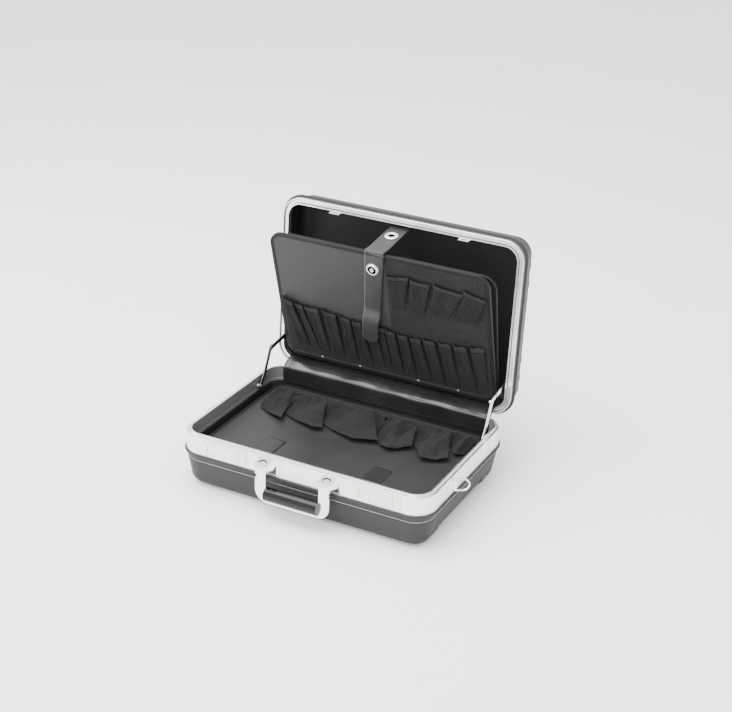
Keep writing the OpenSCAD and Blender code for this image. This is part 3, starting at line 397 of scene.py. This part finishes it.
# Nodes that aren't named here are chromed
PAINT = {
    "base_shell": "shell_base", "lid_shell": "shell_lid", "base_frame": "alu_base", "lid_frame": "alu",
    "latch_plates": "nickel", "latch_lever_left": "nickel", "latch_lever_right": "nickel",
    "handle_grip": "grip", "bolt_guides": "black", "board_ledges": "black",
    "front_board": "panel", "base_board": "floor_panel", "rear_board": "core",
    "front_board_binding": "bind", "rear_board_binding": "bind", "base_board_binding": "bind",
    "hinge_base_leaves": "zinc", "hinge_lid_leaves": "zinc", "hinge_pins": "zinc", "latch_pins": "zinc",
    "lock_bolt_left": "zinc", "lock_bolt_right": "zinc", "stay_base_brackets": "zinc",
    "stay_lid_brackets": "zinc", "strap_anchor": "zinc",
    # The left stay's arms take darker steel than the chromed right stay: painted shade on them
    "stay_upper_left": "shaded_stay_steel", "stay_lower_left": "shaded_stay_steel",
    "hinge_flap": "flap", "back_lining": "flap", "front_pockets_lower": "cloth",
    "front_pockets_upper": "cloth", "base_pockets": "cloth", "pull_tabs": "tab",
    "snap_fastener": "bright", "strap_eyelet": "bright",
    "front_board_rivets": "rivet", "strap_tail": "strap", "strap_bridge": "strap",
}
for n, o in nodes.items():
    o.data.materials.clear()
    o.data.materials.append(M[PAINT.get(n, "chrome")])


# ---------------------------------------------------------------- mesh helpers

def add_object(name, data):
    o = bpy.data.objects.new(name, data)
    bpy.context.scene.collection.objects.link(o)
    return o


def mesh(name, points, faces, mat):
    me = bpy.data.meshes.new(name)
    me.from_pydata([tuple(p) for p in points], [], faces)
    me.update()
    me.validate()
    me.polygons.foreach_set("use_smooth", [True] * len(me.polygons))
    me.materials.append(mat)
    return add_object(name, me)


def catmull(p, samples):
    """A smooth line through the points p."""
    p = [np.array(q, float) for q in p]
    out = []
    n = len(p)
    for i in range(n - 1):
        a, b = p[max(i - 1, 0)], p[i]
        c, d = p[i + 1], p[min(i + 2, n - 1)]
        for k in range(samples):
            t = k / samples
            out.append(0.5 * (2 * b + (c - a) * t + (2 * a - 5 * b + 4 * c - d) * t * t
                              + (3 * b - a - 3 * c + d) * t ** 3))
    out.append(p[-1])
    return np.array(out)


def sheet_shape(rows, t):
    """Points and faces of a sheet with thickness t in metres, from a grid of points rows[j][i]."""
    g = np.array([[list(q) for q in r] for r in rows], float)
    nv, nu = g.shape[:2]
    du = np.gradient(g, axis=1)
    dv = np.gradient(g, axis=0)
    nrm = np.cross(du, dv)
    ln = np.linalg.norm(nrm, axis=2, keepdims=True)
    nrm = nrm / np.maximum(ln, 1e-12)
    a, b = (g + nrm * t / 2).reshape(-1, 3), (g - nrm * t / 2).reshape(-1, 3)
    k = nu * nv
    faces = []
    for j in range(nv - 1):
        for i in range(nu - 1):
            q = j * nu + i
            faces.append((q, q + 1, q + nu + 1, q + nu))
            faces.append((k + q, k + q + nu, k + q + nu + 1, k + q + 1))
    edge = [j * nu for j in range(nv)], [j * nu + nu - 1 for j in range(nv)]
    for j in range(nv - 1):
        faces.append((edge[0][j], edge[0][j + 1], k + edge[0][j + 1], k + edge[0][j]))
        faces.append((edge[1][j], k + edge[1][j], k + edge[1][j + 1], edge[1][j + 1]))
    for i in range(nu - 1):
        faces.append((i, k + i, k + i + 1, i + 1))
        q = (nv - 1) * nu + i
        faces.append((q, q + 1, k + q + 1, k + q))
    return np.vstack([a, b]), faces


def thick_sheet(name, rows, mat, t):
    return mesh(name, *sheet_shape(rows, t), mat)


def joined_sheets(name, grids, mat, t, crease=None):
    """Several sheets as one piece. Folds sharper than crease, in degrees, stay crisp."""
    points, faces, start = [], [], 0
    for g in grids:
        p, f = sheet_shape(g, t)
        points.append(p)
        faces += [tuple(i + start for i in q) for q in f]
        start += len(p)
    o = mesh(name, np.vstack(points), faces, mat)
    if crease:
        o.data.set_sharp_from_angle(angle=math.radians(crease))
    return o


def creased(points, r, n=5):
    """Points along straight runs, one within r of each corner so that the corner stays a crease."""
    p = [np.array(q, float) for q in points]
    out = [p[0]]
    for a, b in zip(p, p[1:]):
        run = float(np.linalg.norm((b - a)[:2])) or 1.0
        near = min(0.25, r / run)
        for t in list(np.linspace(near, 1 - near, n)) + [1.0]:
            out.append(a + (b - a) * t)
    return out


def sheet_area(grids):
    """The area in square metres of the sheets on these grids, which is the cloth that they take."""
    total = 0.0
    for g in grids:
        q = np.array([[list(c) for c in r] for r in g], float)
        du, dv = q[:-1, 1:] - q[:-1, :-1], q[1:, :-1] - q[:-1, :-1]
        total += float(np.linalg.norm(np.cross(du, dv), axis=2).sum())
    return total


def tube(name, path, r, mat, sides=10, closed=False):
    """A round bar along a path of points in metres."""
    p = [Vector(q) for q in path]
    n = len(p)
    pts, faces = [], []
    prev = None
    for i in range(n):
        a = p[(i - 1) % n] if closed or i > 0 else p[0]
        b = p[(i + 1) % n] if closed or i < n - 1 else p[-1]
        d = (b - a).normalized()
        if prev is None:
            u = d.orthogonal().normalized()
        else:
            u = (prev - d * prev.dot(d)).normalized()
        prev = u
        w = d.cross(u)
        for k in range(sides):
            t = 2 * math.pi * k / sides
            pts.append(p[i] + (u * math.cos(t) + w * math.sin(t)) * r)
    for i in range(n if closed else n - 1):
        for k in range(sides):
            a, b = i * sides + k, i * sides + (k + 1) % sides
            c, d = ((i + 1) % n) * sides + (k + 1) % sides, ((i + 1) % n) * sides + k
            faces.append((a, b, c, d))
    if not closed:
        faces.append(tuple(reversed(range(sides))))
        faces.append(tuple(range((n - 1) * sides, n * sides)))
    return mesh(name, pts, faces, mat)


def lathe(name, profile, place, mat, steps=40):
    """A turned piece: profile of (radius, height) in mm; place maps (a, b, height) in mm to metres."""
    pts, faces = [], []
    n = len(profile)
    for k in range(steps):
        t = 2 * math.pi * k / steps
        for r, h in profile:
            pts.append(place(r * math.cos(t), r * math.sin(t), h))
    for k in range(steps):
        for i in range(n - 1):
            a, b = k * n + i, ((k + 1) % steps) * n + i
            faces.append((a, b, b + 1, a + 1))
    return mesh(name, pts, faces, mat)


def wobble(x, y, z, size, amount):
    """Smooth repeatable unevenness in mm."""
    return noise.noise(Vector((x / size, y / size, z / size))) * amount


def stitches(name, path, body, length=2.6, gap=1.5, r=0.28, sides=5):
    """Short raised threads along a path of points in metres, with length, gap and r in mm."""
    p = np.array([list(q) for q in path], float)
    seg = np.linalg.norm(np.diff(p, axis=0), axis=1)
    s = np.concatenate([[0], np.cumsum(seg)])
    pts, faces = [], []
    at = 0.0
    while at + length / 1000 < s[-1]:
        q = []
        for k in range(4):
            d = at + length / 1000 * k / 3
            q.append(Vector([float(np.interp(d, s, p[:, c])) for c in range(3)]))
        d = (q[-1] - q[0]).normalized()
        u = d.orthogonal().normalized()
        w = d.cross(u)
        base = len(pts)
        for i, c in enumerate(q):
            rr = r / 1000 * (0.55 if i in (0, 3) else 1.0)
            for k in range(sides):
                t = 2 * math.pi * k / sides
                pts.append(c + (u * math.cos(t) + w * math.sin(t)) * rr)
        for i in range(3):
            for k in range(sides):
                a, b = base + i * sides + k, base + i * sides + (k + 1) % sides
                faces.append((a, b, b + sides, a + sides))
        faces.append(tuple(base + k for k in reversed(range(sides))))
        faces.append(tuple(base + 3 * sides + k for k in range(sides)))
        at += (length + gap) / 1000
    o = mesh(name, pts, faces, M["thread"])
    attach(o, body)


# ---------------------------------------------------------------- pockets on the front tool board
# Thicknesses in metres
CLOTH_T, HEM_T, BACKING_T, STRIP_T = 0.0008, 0.0005, 0.0006, 0.0007
# The cloth's half width on both boards
CLOTH_SIDE = 208
# How far in front of the board, and above the base board, a pocket may reach, in mm
BOARD_REACH, BASE_REACH = 9.3, 10.3


def pocket(left, right, low_left, low_right, after, depth, seed, over):
    """Half a pleat of the row: its face from left to right, its side wall and the flat run to the next
    one. Each corner is (x, v) on the board, and after is where the next pocket starts, at its foot and
    at its top."""
    rows = []
    for j in range(25):
        s = j / 24
        x0 = low_left[0] + (left[0] - low_left[0]) * s
        x1 = low_right[0] + (right[0] - low_right[0]) * s
        v0 = low_left[1] + (left[1] - low_left[1]) * s
        v1 = low_right[1] + (right[1] - low_right[1]) * s
        x2 = after[0][0] + (after[1][0] - after[0][0]) * s
        v2 = after[0][1] + (after[1][1] - after[0][1]) * s
        w = x1 - x0
        d = 0.6 + (depth - 0.6) * min(1.0, s * 1.25) ** 0.8
        o = over * s
        dip = 1.6 * s ** 3
        section = [(x0 - 0.2, 0.5, v0), (x0 + 0.3, d * 0.55, v0), (x0 + 0.08 * w, d * 0.94, v0),
                   (x0 + 0.30 * w, d * 0.90, v0 + (v1 - v0) * 0.3 - dip),
                   (x0 + 0.55 * w, d * 0.86, v0 + (v1 - v0) * 0.55 - dip),
                   (x0 + 0.82 * w, d * 0.97, v0 + (v1 - v0) * 0.85), (x1 + o, d, v1),
                   (x1 + o * 0.4, d * 0.55, v1 - dip),
                   (x1 - 0.06 * w - 0.8 * s, 0.6, v1 - dip),
                   (x1 + (x2 - x1) * 0.5, 0.45, (v1 + v2) / 2 - dip), (x2 - 0.2, 0.5, v2)]
        line = catmull(section, 4)
        row = []
        for x, dd, v in line:
            pull = math.sin(math.pi * min(1.0, s * 0.95))
            crumple = wobble(x, v, seed, 13, 1.1) + wobble(x * 1.6, v * 0.45, seed + 7, 8, 0.8)
            dd += crumple * pull * min(1.0, dd / 3)
            x += wobble(x + 50, v, seed * 2, 22, 0.7) * s
            out = min(BOARD_REACH, max(0.45, dd))
            row.append(front_board(x, -out - 0.1, v + wobble(x, 3, seed * 3, 10, 0.7) * s))
        rows.append(row)
    return rows


def pocket_row(name, corners, depth, over, seed):
    """A row of pockets on the board. corners has each pocket's top left, top right, foot left and foot
    right, as (x, v)."""
    grids = []
    for i, (tl, tr, fl, fr) in enumerate(corners):
        if i == len(corners) - 1:
            after = ((fr[0] + 2, fr[1]), (tr[0] + 2, tr[1]))
        else:
            after = (corners[i + 1][2], corners[i + 1][0])
        d = depth * (0.9 + 0.1 * math.sin(seed + i * 2.4))
        flare = over * (0.75 + 0.4 * math.sin(i * 1.9 + seed))
        grids.append(pocket(tl, tr, fl, fr, after, d, seed * 3 + i * 1.7, flare))
    cloth = joined_sheets(name, grids, M["cloth"], CLOTH_T, 30)
    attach(cloth, "front_tool_board")
    hems = []
    for g in grids:
        q = np.array([[list(c) for c in r] for r in g[-3:]], float)
        nrm = np.cross(np.gradient(q, axis=1), np.gradient(q, axis=0))
        nrm /= np.maximum(np.linalg.norm(nrm, axis=2, keepdims=True), 1e-12)
        face = range(4, 26)
        lift = 0.0007
        hems.append([[Vector(q[j, k] + nrm[j, k] * (lift if nrm[j, 12, 1] < 0 else -lift)) for k in face]
                     for j in range(3)])
    hem = joined_sheets(name + "_hem", hems, M["hem"], HEM_T)
    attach(hem, "front_tool_board")
    return cloth, hem, sheet_area(grids)


def backing_cloth():
    """Cloth sewn flat to the board: the strip under the lower pockets and the board's right half."""
    def grid(x0, x1, v0, v1, nx, nv):
        rows = []
        for j in range(nv):
            v = v0 + (v1 - v0) * j / (nv - 1)
            row = []
            for i in range(nx):
                x = x0 + (x1 - x0) * i / (nx - 1)
                puff = 0.25 * (1 + math.sin(x * 0.09 + v * 0.02)) * math.sin(math.pi * j / (nv - 1))
                row.append(front_board(x, -0.55 - puff - abs(wobble(x, v, 4, 26, 0.35)), v))
            rows.append(row)
        return rows

    foot, low_top, top, seam_left, seam_right = 12.4, 122, 273.5, 16, 16.2
    grids = [grid(-CLOTH_SIDE, seam_left, foot, low_top, 56, 24),
             grid(seam_right, CLOTH_SIDE, foot, top, 48, 50)]
    o = joined_sheets("front_board_cloth", grids, M["backing"], BACKING_T)
    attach(o, "front_tool_board")


backing_cloth()

# Seams of the lower row: (x, v) at the top and (x, v) at the foot
LOW_SEAMS = [
    ((-203, 140), (-190, 26)), ((-180, 133), (-156, 28)), ((-160, 129), (-137, 21)),
    ((-120, 131), (-115, 20)), ((-87, 126), (-83, 21)), ((-61, 121), (-54, 16)), ((-36, 123), (-25, 22)),
    ((-10, 121), (0, 21)), ((6, 121), (12, 20)), ((30, 116), (38, 17)), ((55, 114), (65, 14)),
    ((81, 118), (95, 15)), ((111, 118), (121, 16)), ((142, 120), (151, 18)), ((173, 124), (186, 18)),
    ((207, 132), (205, 19)),
]
# A pocket's face takes this share of the way to the next seam
FACE_TOP, FACE_FOOT = 0.70, 0.80
low = []
for (a, p), (b, q) in zip(LOW_SEAMS, LOW_SEAMS[1:]):
    low.append((a, (a[0] + (b[0] - a[0]) * FACE_TOP, a[1] + (b[1] - a[1]) * FACE_TOP - 1),
                p, (p[0] + (q[0] - p[0]) * FACE_FOOT, p[1] + (q[1] - p[1]) * FACE_FOOT)))
# pocket_row also gives the area of cloth that the pockets take
o, hem, area_m2 = pocket_row("pockets_lower", low, 8.6, 2.0, 1.3)
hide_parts("front_pockets_lower")
# The upper row's pockets are wide at the top and narrow at the foot
up = [((19.5, 242), (62, 248), (21.6, 164), (47, 167)), ((67, 246), (103, 243.5), (58, 170), (84, 167)),
      ((112, 245), (164, 239), (97, 170), (131, 170)), ((169, 246), (208, 236), (145, 171), (184, 169))]
o, hem, area_m2 = pocket_row("pockets_upper", up, 8.8, 2.6, 4.4)
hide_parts("front_pockets_upper")


# ---------------------------------------------------------------- loose pockets in the base

BOARD_TOP = 71.0
BACK_SEAM = 134.0
# Each pleat: where it is sewn along the back, as x from and x to, and its front edge as (x, y, height)
PLEATS = [
    ((-206, -156), [(-207, 66, 0.9), (-196, 40, 1.6), (-168, 24, 4.6), (-134, 9, 10.2),
                    (-141, 24, 1.6), (-150, 40, 1.0)]),
    ((-164, -84), [(-162, 62, 0.9), (-150, 42, 1.4), (-112, 24, 4.4), (-68, 7, 10.4), (-52, 15, 9.0),
                   (-66, 28, 1.8), (-74, 52, 1.0)]),
    ((-92, 24), [(-86, 62, 0.9), (-76, 46, 1.4), (-38, 24, 4.0), (14, 5, 9.6), (57, 21, 10.4),
                 (48, 34, 1.8), (36, 62, 1.0)]),
    ((16, 104), [(40, 78, 0.9), (52, 44, 1.6), (60, 18, 4.2), (84, 5, 10.2), (96, 16, 6.0),
                 (118, 34, 10.2), (106, 42, 1.8), (98, 66, 1.0)]),
    ((96, 166), [(100, 76, 0.9), (112, 52, 1.6), (132, 28, 4.6), (148, 3, 10.4), (172, 12, 6.4),
                 (192, 25, 10.2), (180, 34, 1.8), (170, 62, 1.0)]),
    ((160, 206), [(172, 84, 0.9), (182, 62, 2.4), (196, 44, 9.4), (205, 60, 3.0), (206, 90, 1.0)]),
]


def loose_pleat(sewn, front, k):
    """Pleat number k of the loose row: it rises to a ridge and drops sharply beside it, with a crease
    through each corner of its front edge."""
    edge = creased(front, 1.2)
    m = len(edge)
    steep, waves, swell = 4.2, 1.7, 8.0
    rows = []
    for j in range(27):
        s = j / 26
        rise = (1 - math.exp(-steep * s)) / (1 - math.exp(-steep))
        row = []
        for i, (x, y, z) in enumerate(edge):
            bx = sewn[0] + (sewn[1] - sewn[0]) * i / (m - 1)
            px, py = bx + (x - bx) * s, BACK_SEAM + (y - BACK_SEAM) * s
            pz = 0.8 + 0.12 * k + (z - 0.8) * rise
            phase = i / (m - 1) * waves + s * (0.9 + 0.3 * math.sin(k * 2.1)) + k * 0.37
            fold = abs(phase % 1.0 - 0.5) * 2
            pz += swell * (fold - 0.6) * math.sin(math.pi * s) ** 0.5
            crumple = abs(wobble(px * 0.8, py * 0.5, 3.3 + k, 11, 2.4)) + wobble(px, py * 1.6, 9.1, 6, 0.5)
            pz += crumple * math.sin(math.pi * s) ** 0.7
            row.append(world(px, py, BOARD_TOP + min(BASE_REACH, max(0.6, pz))))
        rows.append(row)
    return rows


grids = [loose_pleat(sewn, front, k) for k, (sewn, front) in enumerate(PLEATS)]
o = joined_sheets("pockets_base", grids, M["loose"], CLOTH_T, 20)
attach(o, "base_tool_board")
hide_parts("base_pockets")

# Cloth strip sewn along the back of the base board, with its two lines of stitches
STRIP_FRONT, STRIP_D = 121, 15
strip = []
for j in range(7):
    crown = 0.7 * math.sin(math.pi * j / 6)
    strip.append([world(-CLOTH_SIDE + 2 * CLOTH_SIDE * i / 80, STRIP_FRONT + STRIP_D * j / 6,
                        BOARD_TOP + 1.5 + crown + wobble(i * 5, j * 2, 8, 30, 0.25)) for i in range(81)])
o = thick_sheet("pocket_strip", strip, M["backing"], STRIP_T)
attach(o, "base_tool_board")
for i, y in enumerate((124, 132.5)):
    seam = [world(x, y, BOARD_TOP + 2.5) for x in range(-206, 207, 6)]
    stitches("strip_stitches_%d" % i, seam, "base_tool_board")

# Tabs that pull the base board up
TAB_X, TAB_FRONT, TAB_L, TAB_HALF = 105.5, -104.5, 53, 18.0
for s, side in ((-1, "left"), (1, "right")):
    rows = []
    for j in range(15):
        t = j / 14
        y = TAB_FRONT + TAB_L * t
        half = TAB_HALF * (1 - 0.10 * max(0, t - 0.9) / 0.1)
        row = []
        for i in range(13):
            q = -1 + i / 6
            lift = 0.75 + 0.25 * math.cos(q * 2.2) + 0.25 * wobble(q * 10 + s * 30, y, 2, 9, 1)
            row.append(world(s * TAB_X + q * half, y, BOARD_TOP + lift))
        rows.append(row)
    tab = thick_sheet("pull_tab_" + side, rows, M["tab"], CLOTH_T)
    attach(tab, "base_tool_board")
    if s < 0:
        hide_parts("pull_tabs")

# ---------------------------------------------------------------- strap
# The tail's top on the board, its length, half width, taper and rounded end, and where it steps out
# over the lower pockets and how far
TAIL_TOP, TAIL_L, TAIL_HALF, TAIL_TAPER, TAIL_END_R = 283.5, 199, 19.0, 3.2, 14.5
STEP_V, STEP_OUT = 146, 8.2
STRAP_X = -1.0
# Thickness and half width in metres, and points across
STRAP_T, BRIDGE_HALF, ACROSS = 0.0018, 0.0185, 13


def strap_rows(centre, width, t_mid):
    """Rows of points across a strap that follows centre(t) with half width width(t)."""
    rows = []
    for t in t_mid:
        c, side, up = centre(t)
        hw = width(t)
        row = []
        for i in range(ACROSS):
            f = i / (ACROSS - 1)
            crown = 0.0002 * math.cos(math.pi * (f - 0.5))
            row.append(c + side * (hw * (-1 + 2 * i / (ACROSS - 1))) + up * crown)
        rows.append(row)
    return rows


def tail_centre(t):
    """The tail's middle line with the directions across it and out of it."""
    v = TAIL_TOP - t * TAIL_L
    x = STRAP_X - t * 24.3
    over = 1 / (1 + math.exp(-(STEP_V - v) / 5.0))
    d = -2.2 - over * STEP_OUT - 1.2 * math.sin(math.pi * t)
    return front_board(x, d, v), Vector((0.997, 0, -0.07)), Vector((0, -1, 0))


def tail_width(t):
    """The tail's half width in metres."""
    base = TAIL_HALF - TAIL_TAPER * t
    end = (1 - t) * TAIL_L
    r = TAIL_END_R
    if end < r:
        base = max(0.6, math.sqrt(max(0.0, r * r - (r - end) ** 2)) * base / r)
    return base / 1000


ts = list(np.linspace(0, 0.93, 40)) + list(1 - 0.07 * np.cos(np.linspace(0, math.pi / 2, 12))[1:])
tail = thick_sheet("strap_tail_leather", strap_rows(tail_centre, tail_width, ts), M["strap"], STRAP_T)
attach(tail, "front_tool_board")
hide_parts("strap_tail")

# The bridge runs from the tail over the rear board's top edge into the lid
strap_a = front_board(STRAP_X, -1.9, 281.5)
strap_m = front_board(STRAP_X, -0.6, 285.6)
over_rear = world(STRAP_X, 137.4, 403.7)
lid_a = on_lid(STRAP_X, -146.4, 111.4)
lid_b = on_lid(STRAP_X, -154.5, 122.4)
start = catmull([strap_a, strap_m, strap_m.lerp(over_rear, 0.5) - Vector((0, 0, 0.001)), over_rear,
                 over_rear.lerp(lid_a, 0.5), lid_a, lid_b], 8)
path = [strap_a - Vector((0, 0, 0.004))] + list(start)
rows = [[Vector(c) + Vector((BRIDGE_HALF * (-1 + 2 * i / (ACROSS - 1)), 0, 0)) for i in range(ACROSS)]
        for c in path]
bridge = thick_sheet("strap_bridge_leather", rows, M["strap"], STRAP_T)
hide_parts("strap_bridge")
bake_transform(bridge)

# ---------------------------------------------------------------- snap and eyelet
# The snap's middle on the front board, and the eyelet's as (y, z) with its lift off the strap and tilt
SNAP = (-6.55, -3.5, 248.2)
EYELET = (162.81, 406.6)
EYELET_LIFT = 2.1
EYELET_TILT = math.radians(8.6)


def on_snap(a, b, h):
    """A point of the snap fastener: a and b across its face, h out of the strap."""
    return front_board(SNAP[0] + a, SNAP[1] - h, SNAP[2] + b)


def on_eyelet(a, b, h):
    """A point of the eyelet: a and b across it, h above its underside."""
    along, up = math.cos(EYELET_TILT), math.sin(EYELET_TILT)
    h = EYELET_LIFT + h
    return world(a, EYELET[0] + b * along - h * up, EYELET[1] + b * up + h * along)


# Turned profiles as (radius, height)
RIM = [(7.7, 1.4), (8.0, 3.4), (9.0, 4.4), (10.2, 4.4), (11.5, 3.0), (12.1, 1.2), (12.1, 0.4)]
WELL = [(3.6, 4.3), (5.2, 4.26), (7.0, 4.26), (7.9, 4.3)]
SOCKET = [(1.6, 4.3), (1.9, 5.0), (2.8, 5.3), (3.6, 4.9), (3.8, 4.25)]
CENTRE = [(0.02, 4.3), (1.7, 4.3)]
# The snap's well and centre are near-black painted shade; its rim and socket are nickel
for name, profile, mat in (("snap_rim", RIM, "bright"), ("snap_well", WELL, "painted_shade"),
                           ("snap_socket", SOCKET, "bright"), ("snap_centre", CENTRE, "painted_shade")):
    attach(lathe(name, profile, on_snap, M[mat]), "front_tool_board")

# The eyelet goes with the strap that it is set in
GROMMET = [(5.9, 0.2), (6.0, 1.1), (6.8, 1.8), (8.6, 2.1), (10.8, 1.9), (12.4, 1.2), (13.0, 0.2),
           (5.9, 0.2)]
ring = lathe("eyelet_ring", GROMMET, on_eyelet, M["bright"])
# A near-black disc of painted shade stands for the eyelet's hole
hole = lathe("eyelet_hole_shade", [(0.02, 0.9), (5.95, 0.9)], on_eyelet, M["painted_shade"])
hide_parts("strap_eyelet")
for piece in (ring, hole):
    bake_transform(piece)

# ---------------------------------------------------------------- small work on the metal
# A handle bracket's roof: its back edge as (y, z), and how far it runs out and drops to its front edge
HOOD_BACK = (-168, 99.1)
HOOD_RUN, HOOD_DROP = 19.45, 3.45
ARM_X, SLOT_R, SLOT_T = 61.5, 6.5, 0.0011


def on_hood(x, f):
    """A point of a handle bracket's roof: f runs from its back edge to its front edge."""
    return world(x, HOOD_BACK[0] - HOOD_RUN * f, HOOD_BACK[1] - HOOD_DROP * f)


# A thin near-black tube of painted shade draws the slot in each bracket's roof
for s, side in ((-1, "left"), (1, "right")):
    bend = [on_hood(s * ARM_X + SLOT_R * math.cos(t), 0.42 - 0.26 * math.sin(t))
            for t in np.linspace(0.3, math.pi + 0.5, 18)]
    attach(tube("hood_slot_" + side, bend, SLOT_T, M["painted_shade"], 8), "base")


def rim_path(inset, z):
    """The lid's rim, at a distance in from the band's outer face."""
    r = CORNER - inset
    cx, cy = HALF_W - CORNER, HALF_D - CORNER
    points = []
    for k, (x, y) in enumerate(((cx, cy), (-cx, cy), (-cx, -cy), (cx, -cy))):
        for i in range(9):
            t = math.pi / 2 * (k + i / 8)
            points.append(on_lid(x + r * math.cos(t), y + r * math.sin(t), z))
    return points


# Two dark grey lines along the lid's rim, drawn as thin tubes
RIM_LINE_Z, RIM_LINE_R = 106.1, 0.00055
for inset, name in ((2.9, "rim_line_outer"), (9.4, "rim_line_inner")):
    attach(tube(name, rim_path(inset, RIM_LINE_Z), RIM_LINE_R, M["rim_line_grey"], 8, closed=True), "lid")

# ---------------------------------------------------------------- flap over the hinge

FLAP_W, FLAP_T = 426, 0.0009
# Up the base's back wall, over the hinge and in under the lid's boards
path = catmull([(0, 153.0, 74), (0, 153.1, 90), (0, 153.3, 99), (0, 154.2, 104.6), (0, 157.2, 107.3),
                (0, 161, 110.0), (0, 168, 114.2), (0, 175, 117.3), (0, 181, 118.9), (0, 188, 119.3)], 6)
rows = []
for i in range(85):
    x = -FLAP_W / 2 + FLAP_W * i / 84
    row = []
    for k, (_, y, z) in enumerate(path):
        s = k / (len(path) - 1)
        free = max(0.0, min(1.0, (s - 0.2) / 0.2)) * max(0.0, min(1.0, (1 - s) / 0.25))
        dz = wobble(x, s * 40, 5, 48, 1.5) * free + wobble(x, s * 60, 15, 17, 0.35) * free
        row.append(world(x, y - dz * 0.5, z + dz))
    rows.append(row)
flap = thick_sheet("hinge_flap_sheet", rows, M["flap"], FLAP_T)
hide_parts("hinge_flap", "back_lining")
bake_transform(flap)

# ---------------------------------------------------------------- camera, floor, light

# Solved from the case's outline: the focal length for a picture of this width, the point that the
# camera looks at, and how far it is from there
FOCAL_PX, WIDTH_PX, SENSOR_MM = 1552.8, 732, 36.0
LOOK = (46.594, -15.812, 155.835 + SHOULDER)
DISTANCE = 2.645


def camera():
    az, el, roll = math.radians(26.625), math.radians(25.206), math.radians(1.84)
    back = Vector((math.sin(az) * math.cos(el), -math.cos(az) * math.cos(el), math.sin(el)))
    eye = world(*LOOK) + back * DISTANCE
    right = Vector((0, 0, 1)).cross(back).normalized()
    up = back.cross(right)
    c, s = math.cos(roll), math.sin(roll)
    r2, u2 = right * c + up * s, up * c - right * s
    cam = bpy.data.cameras.new("camera")
    o = add_object("camera", cam)
    cam.sensor_width = SENSOR_MM
    cam.lens = FOCAL_PX / WIDTH_PX * SENSOR_MM
    cam.clip_start, cam.clip_end = 0.05, 50
    o.matrix_world = Matrix(((r2.x, u2.x, back.x, eye.x), (r2.y, u2.y, back.y, eye.y),
                             (r2.z, u2.z, back.z, eye.z), (0, 0, 0, 1)))
    bpy.context.scene.camera = o


camera()


def floor():
    m, nt, b = new_material("pale_floor")
    v = coords(nt)
    cloud = noise_at(nt, v, 3.0, 4)
    tone = ramp(nt, cloud, [(0.3, (0.93, 0.93, 0.93)), (0.7, (0.95, 0.95, 0.95))])
    nt.links.new(tone, b.inputs["Base Color"])
    b.inputs["Roughness"].default_value = 0.9
    b.inputs["Specular IOR Level"].default_value = 0.1
    half, z = 9, -0.0002
    corners = [(-half, -half, z), (half, -half, z), (half, half, z), (-half, half, z)]
    o = mesh("floor", corners, [(0, 1, 2, 3)], m)


floor()


def area(name, place, target, size, power):
    lamp = bpy.data.lights.new(name, "AREA")
    lamp.shape = "RECTANGLE"
    lamp.size, lamp.size_y = size
    lamp.energy = power
    lamp.color = (1, 1, 1)
    o = add_object(name, lamp)
    o.location = place
    o.rotation_mode = "QUATERNION"
    o.rotation_quaternion = (Vector(target) - Vector(place)).to_track_quat("-Z", "Y")


area("top_light", (-0.5, -0.4, 2.4), (0, 0, 0.1), (2.4, 2.0), 120)
area("left_light", (-2.3, -1.0, 1.1), (0, 0, 0.15), (1.6, 1.6), 42)
area("front_light", (0.5, -2.6, 1.2), (0, 0, 0.15), (2.0, 1.4), 34)

SKY_STRENGTH = 2.1
studio = bpy.data.worlds.new("studio")
studio.use_nodes = True
sky = studio.node_tree.nodes["Background"]
sky.inputs[0].default_value = (1, 1, 1, 1)
sky.inputs[1].default_value = SKY_STRENGTH
bpy.context.scene.world = studio
